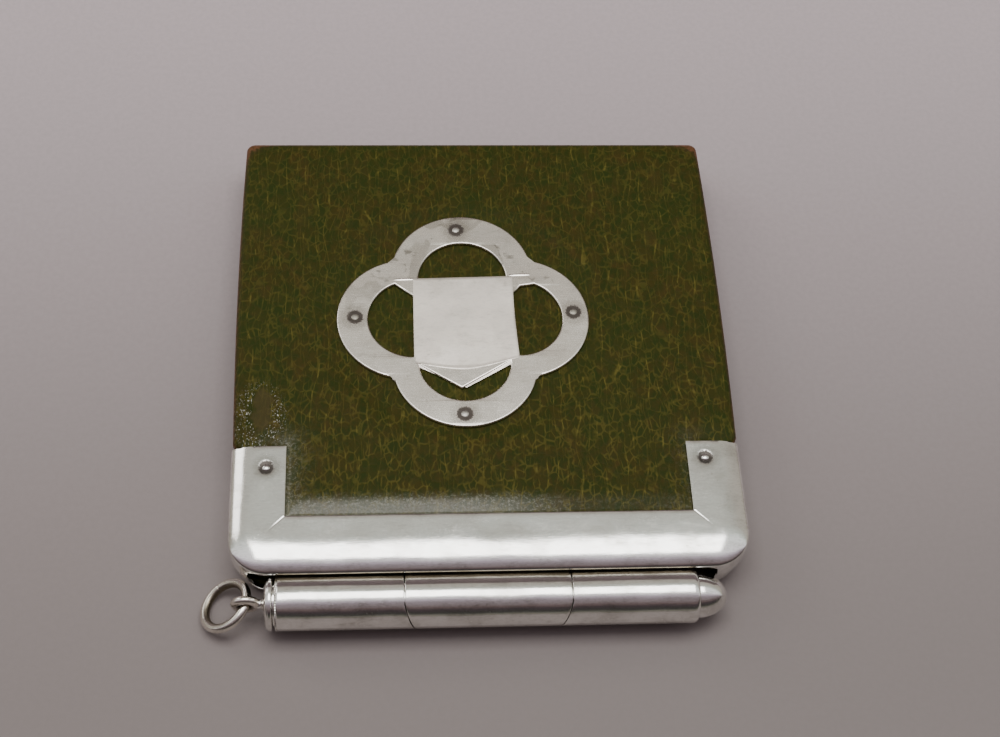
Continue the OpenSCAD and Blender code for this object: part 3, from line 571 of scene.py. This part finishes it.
# Turned-in leather: the cover's skin pared thin and glued down round each lining, as a margin down both
# sides and along the front, mitred at the corners.
def margin_piece(name, body, half, front, outer, flip):
    y0, side, wide = front + 1.1, half - 0.95, 3.95
    bm = bmesh.new()

    def face(a):
        return outer - flip * (2.1 - 0.22 * max(0.0, (a - 0.86) / 0.14) ** 2)

    def inside(x, y, z):
        """Keeps a place within the cover's round front corner, inside the mount's rim."""
        cx, cy = side - 4.4, y0 + 4.4
        dx, dy = abs(x) - cx, cy - y
        if dx > 0 and dy > 0:
            reach = 4.4 / max(4.4, math.hypot(dx, dy))
            return math.copysign(cx + dx * reach, x), cy - dy * reach, z
        return x, y, z

    for sign in (-1, 1):
        add_sheet(bm, 12, 90, lambda u, v: inside(sign * (side - u * wide), y0 + u * (wide + 0.55) + v * v * (
            37.3 - y0 - u * (wide + 0.55)), face(u)))
    add_sheet(bm, 90, 12, lambda u, v: inside(
        math.sin((u - 0.5) * math.pi) * (side - v * wide), y0 + v * (wide + 0.55), face(v)))
    add_sheet(bm, 90, 4, lambda u, v: inside(
        math.sin((u - 0.5) * math.pi) * side, y0, outer - flip * (0.75 + 1.35 * v)))
    made = piece(name, bm, body, margin_look, sharp=50, close=False)
    flat = made.data.attributes.new("flat", "FLOAT_VECTOR", "POINT")
    for vert in made.data.vertices:
        flat.data[vert.index].vector = vert.co / MM
    for attribute in ("wear", "sheen"):
        made.data.attributes.new(attribute, "FLOAT", "POINT")


margin_look = leather("margin_leather_look", ((0.040, 0.047, 0.010), (0.056, 0.052, 0.013)),
                      (0.125, 0.104, 0.030), 1.5)
margin_piece("front_turned_in_leather", "front_cover", *FRONT_COVER, LEATHER_TOP, 1)
margin_piece("rear_turned_in_leather", "rear_cover", *REAR_COVER, 0.0, -1)


# Cartouche: one piece of sheet pierced into four lobes round a plain shield, with broken edges. Small
# steps run out from the shield's top corners, and its lower edge is bent down to a lip.
def flat_cut(name, rings, z, thick, edge, look, body, stands_for):
    curve = bpy.data.curves.new(name, "CURVE")
    curve.dimensions = "2D"
    curve.fill_mode = "BOTH"
    curve.bevel_depth = edge * MM
    curve.bevel_resolution = 3
    curve.offset = -edge * MM
    curve.extrude = (thick / 2 - edge) * MM
    for ring in rings:
        spline = curve.splines.new("POLY")
        spline.points.add(len(ring) - 1)
        spline.use_cyclic_u = True
        for spot, (x, y) in zip(spline.points, ring):
            spot.co = (x * MM, y * MM, 0, 1)
    drawn = bpy.data.objects.new(name + "_line", curve)
    scene.collection.objects.link(drawn)
    bpy.context.view_layer.update()
    cut = bpy.data.meshes.new_from_object(drawn.evaluated_get(bpy.context.evaluated_depsgraph_get()))
    bpy.data.objects.remove(drawn)
    bm = bmesh.new()
    bm.from_mesh(cut)
    bmesh.ops.translate(bm, verts=bm.verts, vec=(0, 0, (z + thick / 2) * MM))
    made = piece(name, bm, body, look, stands_for, sharp=50, close=False)
    normals = made.modifiers.new("flat_faces", "WEIGHTED_NORMAL")
    normals.keep_sharp = True


def arc(cx, cy, r, start, end):
    angles = [math.radians(start + (end - start) * i / 60) for i in range(61)]
    return [(cx + r * math.cos(a), cy + r * math.sin(a)) for a in angles]


CZ = LEATHER_TOP
outline = []
for turn in range(4):
    lobe = arc(8.55, 0, 11.15, -77.9, 77.9)
    a = math.radians(90 * turn)
    outline += [(x * math.cos(a) - y * math.sin(a), x * math.sin(a) + y * math.cos(a)) for x, y in lobe]
left_hole = arc(-7.75, -0.05, 7.1, 114, 268) + [(-7.85, -7.12), (-7.8, 4.2)]
right_hole = arc(8.55, -0.05, 6.95, -88, 66) + [(9.2, 5.95), (8.0, 4.6), (8.45, -6.95)]
top_hole = arc(0.05, 7.35, 6.95, 2, 178)
bottom_hole = arc(0.0, -7.95, 7.1, -8, -188) + [(-6.95, -8.75), (-0.6, -12.9), (6.95, -8.15)]
rings = [[(x + CX, y + CY) for x, y in ring]
         for ring in (outline, left_hole, right_hole, top_hole, bottom_hole)]
cartouche_pins = [(x + CX, y + CY) for x, y in ((-0.68, 16.97), (-16.85, 0.19), (17.3, 0.86), (-0.31, -17.5))]
cartouche_look = silver("cartouche_look", [(x, y, CZ + 0.7) for x, y in cartouche_pins], 1.42, matt=0.13,
                        stains_and_reflections=True, tint=(1.0, 0.94, 0.86))
flat_cut("cartouche_lobes", rings, CZ - 0.02, 0.6, 0.27, cartouche_look, "front_cover", ["cartouche"])
shield_look = silver("shield_look", matt=0.30, tint=(1.0, 0.93, 0.84))


def shield_point(u, v):
    y_top = 7.35 + 0.4 * u
    lip_y = -7.9 - 1.3 * math.sin(math.pi * u) ** 1.2 + (u - 0.5) * 1.0
    edge_y = -8.75 - 4.1 * (u / 0.5) if u < 0.5 else -12.85 + 4.7 * ((u - 0.5) / 0.5)
    x = -7.75 + u * 15.75
    if v < 0.8:
        y = y_top + (lip_y - y_top) * v / 0.8
        x += (y < 0) * (-y) * 0.06 * (u ** 2)
        dome = 0.07 * (1 - (2 * u - 1) ** 2) * math.sin(math.pi * min(1.0, v / 0.8)) ** 0.7
        z = 0.58 + dome + 0.010 * (y + 8)
    else:
        t = (v - 0.8) / 0.2
        y = lip_y + (edge_y + 0.12 - lip_y) * t
        x += 0.5 * u * (1 - t) - 0.02
        z = 0.58 - 0.22 * t ** 1.2 + 0.04 * math.exp(-((t - 0.05) / 0.06) ** 2)
    rim = min(u, 1 - u, v) * 15
    return x + CX, y + CY, CZ + z - 0.05 * max(0.0, 1 - rim / 0.15)


bm = bmesh.new()
add_sheet(bm, 80, 80, shield_point)
piece("cartouche_shield_face", bm, "front_cover", shield_look, sharp=60, close=False)
bm = bmesh.new()
for x0, x1, y in ((-10.9, -7.4, 7.25), (7.3, 11.0, 8.0)):
    def step_point(u, v):
        rise = 0.075 * math.sin(math.pi * v) ** 2 * math.sin(math.pi * min(1.0, max(0.0, u))) ** 0.6
        return x0 + (x1 - x0) * u + CX, y + CY + (v - 0.5) * 0.5 + 0.12 * u, CZ + 0.57 + rise

    add_sheet(bm, 24, 8, step_point)
piece("cartouche_corner_steps", bm, "front_cover", cartouche_look, sharp=60, close=False)


# Rivet pins: silver wire through the mounts and the cartouche into the boards, hammered to small domes.
# The cartouche's are flatter and duller.
def dome_pins(name, body, spots, z, flip, height, dull, stands_for):
    bm = bmesh.new()
    for x, y in spots:
        def dome_point(u, v):
            a, reach = u * 2 * math.pi, math.cos(v * math.pi / 2)
            return (x + 0.62 * math.cos(a) * reach * (1 + 0.05 * math.sin(2 * a)),
                    y + 0.60 * math.sin(a) * reach,
                    z + flip * height * math.sin(v * math.pi / 2))

        add_sheet(bm, 28, 8, dome_point)
    look = silver(name + "_look", dull=dull, matt=dull * 0.3)
    piece(name, bm, body, look, stands_for, sharp=80, close=False)


dome_pins("front_rivets", "front_cover", front_pins, LEATHER_TOP, 1, 0.33, 0.05, ["front_mount_pins"])
dome_pins("rear_rivets", "rear_cover", rear_pins, 0.19, -1, 0.16, 0.05, ["rear_mount_pins"])
dome_pins("cartouche_rivets", "front_cover", cartouche_pins, CZ + 0.52, 1, 0.22, 0.7, ["cartouche_pins"])


# Knuckles: three drawn silver tubes on one line, each soldered to a leaf behind its mount's rim. The cuts
# between them lean so that the middle tube narrows downwards. A milled line runs round the left end.
TUBE_Y, TUBE_Z, TUBE_R, BORE_R, TUBE_MID = -42.33, 4.7, 3.95, 3.3, -0.7
LEAN = math.radians(12.5)


def half_length(y, z):
    height = (y - TUBE_Y) * math.sin(LEAN) + (z - TUBE_Z) * math.cos(LEAN)
    return 11.9 - 0.31 * max(0.0, 0.7 * TUBE_R - height)


def knuckle_piece(name, body, left_end, right_end, leaf, milled, stands_for):
    bm = bmesh.new()
    lip = [(0.55, TUBE_R), (0.40, TUBE_R - 0.02), (0.30, TUBE_R - 0.10), (0.22, TUBE_R - 0.16),
           (0.14, TUBE_R - 0.10), (0.06, TUBE_R - 0.18), (0.0, TUBE_R - 0.30), (0.0, BORE_R + 0.05),
           (0.1, BORE_R)]
    cut = [(0.5, TUBE_R), (0.14, TUBE_R), (0.05, TUBE_R - 0.02), (0.01, TUBE_R - 0.06), (0.0, TUBE_R - 0.12),
           (0.0, BORE_R + 0.03), (0.04, BORE_R)]
    soft = [(1.0, TUBE_R), (0.62, TUBE_R - 0.02), (0.36, TUBE_R - 0.10), (0.16, TUBE_R - 0.24),
            (0.04, TUBE_R - 0.40), (0.0, TUBE_R - 0.5), (0.0, BORE_R + 0.03), (0.04, BORE_R)]
    first = (lip if milled else soft) if left_end is not None else cut
    last = soft if right_end is not None else cut
    stations = [(0, dx, r) for dx, r in reversed(first)] + [(t / 20, 0, TUBE_R) for t in range(1, 20)]
    stations += [(1, dx, r) for dx, r in last] + [(0, first[-1][0], BORE_R)]

    def tube_point(u, v):
        t, dx, r = stations[round(v * (len(stations) - 1))]
        a = u * 2 * math.pi
        if milled and t == 0 and 0.05 < dx < 0.25:
            r += 0.07 * math.cos(a * 64)
        if r > 3.8:
            r += noise.noise(Vector((t * 7, math.cos(a), math.sin(a) + (left_end or 9)))) * 0.02
        y, z = TUBE_Y + r * math.sin(a), TUBE_Z + r * math.cos(a)
        gap = 0.0 if left_end is None and right_end is None else 0.12
        x0 = left_end if left_end is not None else (
            TUBE_MID + half_length(y, z) + gap if right_end is not None else TUBE_MID - half_length(y, z))
        x1 = right_end if right_end is not None else (
            TUBE_MID - half_length(y, z) - gap if left_end is not None else TUBE_MID + half_length(y, z))
        return (x0 + dx if t == 0 else x1 - dx if t == 1 else x0 + 1.0 + (x1 - x0 - 2.0) * t), y, z

    add_sheet(bm, 256, len(stations) - 1, tube_point)
    loop = leaf + [leaf[0]]

    def leaf_point(u, v):
        y, z = loop[round(v * (len(loop) - 1))]
        spread = half_length(y, z)
        x0 = left_end + 0.5 if left_end is not None else (
            TUBE_MID + spread + 0.15 if right_end is not None else TUBE_MID - spread)
        x1 = right_end - 0.5 if right_end is not None else (
            TUBE_MID - spread - 0.15 if left_end is not None else TUBE_MID + spread)
        return x0 + (x1 - x0) * u, y, z

    add_sheet(bm, 8, len(loop) - 1, leaf_point)
    made = piece(name, bm, body, knuckle_look, stands_for, sharp=50)
    # Painted shade on the tube's upper back, where it runs under the mount's rim; an even light darkening
    # elsewhere.
    grime_and_shade = made.data.attributes.new("grime_and_shade", "FLOAT", "POINT")
    for vert in made.data.vertices:
        behind = (vert.co.y / MM - TUBE_Y) / TUBE_R - 0.38
        upper = vert.co.z > TUBE_Z * MM
        grime_and_shade.data[vert.index].value = 0.95 * min(1.0, max(0.0, behind / 0.14)) if upper else 0.3


knuckle_look = silver("knuckle_look", dull=0.03)
rear_leaf = [(-38.4, 1.35), (-38.28, 1.12), (-38.12, 0.98), (-37.92, 0.9), (-37.9, 1.2), (-37.9, 4.6),
             (-37.98, 4.7), (-38.75, 4.7), (-38.83, 4.6), (-38.83, 2.0), (-38.75, 1.92), (-38.4, 1.92)]
front_leaf = [(y - (0.4 if y > -38.7 else 0.0), T - z) for y, z in rear_leaf]
knuckle_piece("left_knuckle_tube", "rear_cover", -31.1, None, rear_leaf, True, ["left_knuckle"])
knuckle_piece("right_knuckle_tube", "rear_cover", None, 29.7, rear_leaf, False, ["right_knuckle"])
knuckle_piece("centre_knuckle_tube", "front_cover", None, None, front_leaf, False, ["centre_knuckle"])


# Pencil: a turned silver sleeve with a bullet nose that locks the three tubes. The head, a domed disc with
# a wire eye and a loose ring, ends the lead holder that slides out of the sleeve.
def lathe(name, body, profile, look, stands_for, closed=True):
    profile = profile + [profile[0]] if closed else profile
    bm = bmesh.new()

    def turned(u, v):
        x, r = profile[round(v * (len(profile) - 1))]
        return x, TUBE_Y + r * math.sin(u * 2 * math.pi), TUBE_Z + r * math.cos(u * 2 * math.pi)

    add_sheet(bm, 96, len(profile) - 1, turned)
    piece(name, bm, body, look, stands_for, sharp=45, close=False)


pencil_look = silver("pencil_look", dull=0.02)
nose = [(29.72 + 4.3 * math.sin(a), 3.25 * math.cos(a) ** 0.92)
        for a in [math.pi / 2 * i / 20 for i in range(20)]]
sleeve = [(-31.3, 2.85), (-31.37, 2.95), (-31.37, 3.17), (-31.3, 3.25), (-29, 3.25)]
sleeve += [(x, 3.25) for x in range(-24, 28, 4)] + [(29.3, 3.25), (29.4, 3.19), (29.55, 3.19), (29.62, 3.25)]
lathe("pencil_sleeve_tube", "sleeve", sleeve + nose + [(34.02, 0.0), (28.7, 0.0), (28.7, 2.85)], pencil_look,
      ["pencil_sleeve"])
head = [(-31.42, 0.0), (-31.42, 3.72), (-31.50, 3.84), (-31.62, 3.9), (-31.95, 3.9), (-32.03, 3.84),
        (-32.06, 3.74), (-32.16, 3.72)]
head += [(-32.16 - 0.62 * math.sin(a), 0.75 + 2.95 * math.cos(a))
         for a in [math.pi / 2 * i / 14 for i in range(1, 15)]]
head += [(-32.86, 0.86), (-32.94, 0.92), (-33.04, 0.84), (-33.12, 0.72), (-33.3, 0.68), (-33.6, 0.72),
         (-33.7, 0.0)]
lathe("pencil_head_disc", "pencil", head, pencil_look, ["pencil_head"])


def wire_loop(name, body, centre, mid, wire, place, look, stands_for, swell=0.0, nick=None):
    """A closed wire ring. place turns a point in the ring's own plane into the row frame."""
    def point(u, v):
        a, b = u * 2 * math.pi, v * 2 * math.pi
        r = wire * (1 + swell * math.exp(-((math.sin(a / 2) / 0.35) ** 2)))
        r *= 1 + 0.03 * noise.noise(Vector((math.cos(a) * 2, math.sin(a) * 2, mid)))
        if nick is not None:
            r *= 1 - 0.10 * math.exp(-(((a - nick + math.pi) % (2 * math.pi) - math.pi) / 0.02) ** 2)
        ring = mid + r * math.cos(b)
        return Vector(centre) + place @ Vector((ring * math.cos(a), ring * math.sin(a), r * math.sin(b)))

    bm = bmesh.new()
    add_sheet(bm, 160, 28, point)
    made = piece(name, bm, body, look, stands_for, sharp=80, close=False)
    # Painted shade on the wire's inner side, darkest inside the ring.
    grime_and_shade = made.data.attributes.new("grime_and_shade", "FLOAT", "POINT")
    for vert in made.data.vertices:
        flat = place.inverted() @ (vert.co / MM - Vector(centre))
        inner = (mid - flat.xy.length) / wire
        grime_and_shade.data[vert.index].value = max(0.0, inner) ** 0.6


EYE = (-35.37, TUBE_Y, TUBE_Z)
RING_MID, RING_WIRE = 3.65, 0.7
wire_look = silver("wire_look", dull=0.12, matt=0.03, tint=(0.96, 0.91, 0.83))
wire_loop("pencil_eye_wire", "pencil", EYE, 1.475, 0.625, Matrix.Rotation(math.pi / 2, 3, "X"), wire_look,
          ["pencil_eye"], swell=0.12)
lean = math.asin((TUBE_Z - RING_WIRE - 0.05) / (2 * RING_MID))
ring_turn = Matrix.Rotation(math.radians(-14), 3, "Z") @ Matrix.Rotation(-lean, 3, "Y")
ring_centre = Vector(EYE) + ring_turn @ Vector((-RING_MID, 0, 0))
wire_loop("chain_ring_wire", "ring", ring_centre, RING_MID, RING_WIRE, ring_turn, wire_look, ["jump_ring"],
          nick=2.2)

# Lead holder: a turned silver rod that hangs from the head inside the sleeve. It has two ring grooves and
# ends in a cone round the lead.
holder = [(-31.42, 0.0), (-31.42, 2.8), (-20.0, 2.8), (-10.0, 2.8)]
for groove in (-5.42, -1.42):
    holder += [(groove - 0.14, 2.8), (groove - 0.04, 2.69), (groove + 0.04, 2.69), (groove + 0.14, 2.8)]
holder += [(1.6, 2.8), (2.2, 2.76), (2.58, 2.68)]
holder += [(2.58 + 5.0 * t, 2.68 - 1.53 * t) for t in [i / 12 for i in range(1, 13)]]
lathe("lead_holder_rod", "pencil", holder + [(7.58, 0.8), (6.5, 0.8), (6.5, 0.0)], pencil_look,
      ["lead_holder"])
graphite, place, fill = surface("graphite_look", Metallic=0.25)
fill(place.noise(9, 3), 0.03, Base_Color=place.noise(4, 3).colour((0.025, 0.025, 0.028), (0.09, 0.09, 0.095)),
     Roughness=0.32 + place.noise(6, 2) * 0.25)
lead = [(2.6, 0.0), (2.6, 0.8), (11.4, 0.8), (11.7, 0.74), (12.9, 0.42), (13.4, 0.24), (13.56, 0.12),
        (13.58, 0.0)]
lathe("pencil_lead_point", "pencil", lead, graphite, ["pencil_lead"], closed=False)

# Linings and boards: ribbed silk glued inside the covers and the spine, let into the turned-in leather,
# over pasteboard. The pad's back is of the same board.
silk, place, fill = surface("silk_look", Specular_IOR_Level=0.35)
waves = place.scaled(0.5, 1.0, 1.0).noise(0.35, 2.0, 0.5)
ribs = place.node("TexWave", {"Vector": place, "Scale": 1.1, "Distortion": 0.4}, output=1,
                  bands_direction="Y")
threads = place.scaled(1.0, 0.2, 1.0).noise(6.0, 2.0)
lustre = waves.step(0.38, 0.64)
fill(ribs * 0.8 + threads * 0.4 + waves * 0.4, 0.03,
     Base_Color=(lustre * 0.6 + threads * 0.4).colour((0.245, 0.228, 0.138), (0.345, 0.322, 0.205)),
     Roughness=0.62 - lustre * 0.22 + threads * 0.1)
board_look, place, fill = surface("board_look", Roughness=0.9)
board_tone = place.noise(2.2, 4, 0.7).colour((0.20, 0.18, 0.14), (0.38, 0.35, 0.29))
fill(place.noise(3.5, 4), 0.05, Base_Color=board_tone)
for name, look in (("front_lining", silk), ("rear_lining", silk), ("spine_lining", silk),
                   ("front_board", board_look), ("rear_board", board_look), ("spine_board", board_look),
                   ("note_pad_back", board_look)):
    nodes[name].data.materials.clear()
    nodes[name].data.materials.append(look)


# Pockets: panels of thinner, paler leather on the linings, sewn down round three sides with silk thread,
# their mouths turned over. The coin pocket lies on the card pocket.
def pocket_piece(name, body, wide, deep, room, put, stands_for):
    thick, seam = 0.45, 1.2
    full = room + thick

    def height(a, b):
        """The panel's top over its place across (a) and back from the mouth (b)."""
        edge = min(a, wide - a, deep - b)
        swell = 0.10 * math.sin(math.pi * min(1.0, a / wide)) * math.exp(-b / (deep * 0.6))
        pressed = 0.16 * math.exp(-((edge - 0.62) / 0.30) ** 2)
        rolled = 0.07 * math.exp(-((b - 0.55) / 0.38) ** 2) - 0.05 * math.exp(-((b - 1.5) / 0.16) ** 2)
        waves = noise.noise(Vector((a * 0.12, b * 0.12, full))) * 0.05
        return full - pressed + (swell * min(1.0, max(0.0, edge / 4)) + rolled + waves) * min(1.0, edge / 1.5)

    rim = [(0.0, 0.0), (0.0, 0.7), (0.03, 0.86), (0.1, 0.95), (0.22, 1.0)]
    across = rim + [(a, 1.0) for a in (0.4, 0.5, 0.62, 0.75, 0.9, 1.1, 1.4)]
    across += [(1.8 + (wide - 3.6) * i / 60, 1.0) for i in range(61)]
    across += [(wide - a, k) for a, k in reversed(across[:12])]
    back = [(0.0, 0.75), (0.04, 0.92), (0.14, 1.0)] + [(0.25 + 0.15 * i, 1.0) for i in range(12)]
    back += [(2.2 + (deep - 4.0) * i / 50, 1.0) for i in range(51)]
    back += [(deep - a, 1.0) for a in (1.4, 1.1, 0.9, 0.75, 0.62, 0.5, 0.4)]
    back += [(deep - a, k) for a, k in reversed(rim)]

    def top(u, v):
        (a, ka), (b, kb) = across[round(u * (len(across) - 1))], back[round(v * (len(back) - 1))]
        h = height(a, b) * ka
        h = room + (h - room) * kb if b < 0.2 and h > room else h * (kb if b > 1 else 1.0)
        return put(a, b, h)

    bm = bmesh.new()
    add_sheet(bm, len(across) - 1, len(back) - 1, top)
    add_sheet(bm, 40, 2, lambda u, v: put(seam + (wide - 2 * seam) * u, 0.02 * v, room + 0.33 * (1 - v)))
    add_sheet(bm, 40, 12, lambda u, v: put(seam + (wide - 2 * seam) * u, 0.02 + 14.0 * v, room - 0.02 * v))
    for start in (0.0, wide - seam):
        add_sheet(bm, 3, 3, lambda u, v: put(start + seam * u, 0.0, (room + 0.3) * v))
    panel = piece(name, bm, body, pocket_look, stands_for, sharp=60, close=False)
    flat = panel.data.attributes.new("flat", "FLOAT_VECTOR", "POINT")
    for vert in panel.data.vertices:
        flat.data[vert.index].vector = vert.co / MM
    panel.data.attributes.new("wear", "FLOAT", "POINT")
    line, inset, pitch = [], 0.62, 1.45
    for i in range(int((deep - inset - 0.4) / pitch)):
        b = 0.7 + i * pitch
        line += [(inset, b, 0), (wide - inset, b, 0)]
    for i in range(int((wide - 2 * inset - 0.75) / pitch)):
        line.append((inset + 0.75 + i * pitch, deep - inset, 1))
    bm = bmesh.new()
    for a, b, turned in line:
        def stitch(u, v):
            along, round_ = (v - 0.5) * 1.05, u * 2 * math.pi
            r = 0.15 * math.sqrt(max(0.0, 1 - (abs(v - 0.5) * 2) ** 3))
            side = r * math.cos(round_) + 0.12 * (v - 0.5)
            da, db = (along, side) if turned else (side, along)
            h = height(a, b) + 0.04 + r * math.sin(round_) * 0.8 - 0.10 * (2 * abs(v - 0.5)) ** 2
            return put(a + da, b + db, h)

        add_sheet(bm, 8, 6, stitch)
    piece(name + "_stitches", bm, body, thread_look, sharp=80, close=False)


pocket_look = leather("pocket_leather_look", ((0.052, 0.060, 0.015), (0.078, 0.071, 0.022)),
                      (0.150, 0.126, 0.047), 2.0)
thread_look, place, fill = surface("thread_look", Roughness=0.6)
fill(place.noise(12, 2), 0.03, Base_Color=place.noise(7, 2).colour((0.17, 0.15, 0.07), (0.33, 0.29, 0.15)))
pocket_piece("card_pocket_panel", "rear_cover", 62.0, 58.0, 0.6,
             lambda a, b, h: (-31 + a, -25.7 + b, 2.1 + h), ["card_pocket"])
pocket_piece("coin_pocket_panel", "rear_cover", 36.0, 34.0, 0.5,
             lambda a, b, h: (-18 + a, -13.7 + b, 3.15 + h), ["coin_pocket"])
pocket_piece("note_pocket_panel", "front_cover", 48.6, 59.8, 1.6,
             lambda a, b, h: (29.9 - b, -16.3 + a, 7.1 - h), ["note_pocket"])

# Note pad: thin laid-paper leaves glued at one end to a card back, not quite square to each other. It
# slides in and out of the pocket under the front cover.
paper, place, fill = surface("paper_look", Roughness=0.75, Specular_IOR_Level=0.2)
laid = place.node("TexWave", {"Vector": place, "Scale": 0.9, "Distortion": 0.3}, output=1,
                  bands_direction="X")
fill(place.noise(2.5, 4, 0.7) + laid * 0.3, 0.02,
     Base_Color=(place.noise(0.15, 3) * 0.7 + laid * 0.3).colour((0.70, 0.64, 0.50), (0.86, 0.82, 0.70)))
bm = bmesh.new()
for leaf in range(9):
    low = 5.60 + leaf * 0.122
    dx, dy, curl = 0.14 * math.sin(leaf * 2.3), 0.12 * math.cos(leaf * 3.7), 0.03 * math.sin(leaf * 1.3 + 1)
    slab = [(i / 24, 0.0) for i in range(25)] + [(1 - i / 24, 0.085) for i in range(25)] + [(0.0, 0.0)]

    def leaf_point(u, v):
        a, h = slab[round(u * (len(slab) - 1))]
        corner = max(0.0, a + v - 1.75) * curl * 2
        return (-28.45 + a * 57.7 + dx, -14.85 + v * 45.7 + dy,
                low + h + corner + 0.012 * math.sin(a * 9 + leaf) * math.sin(v * 7))

    add_sheet(bm, len(slab) - 1, 20, leaf_point)
piece("note_pad_leaves", bm, "pad", paper, ["note_pad"], sharp=40)
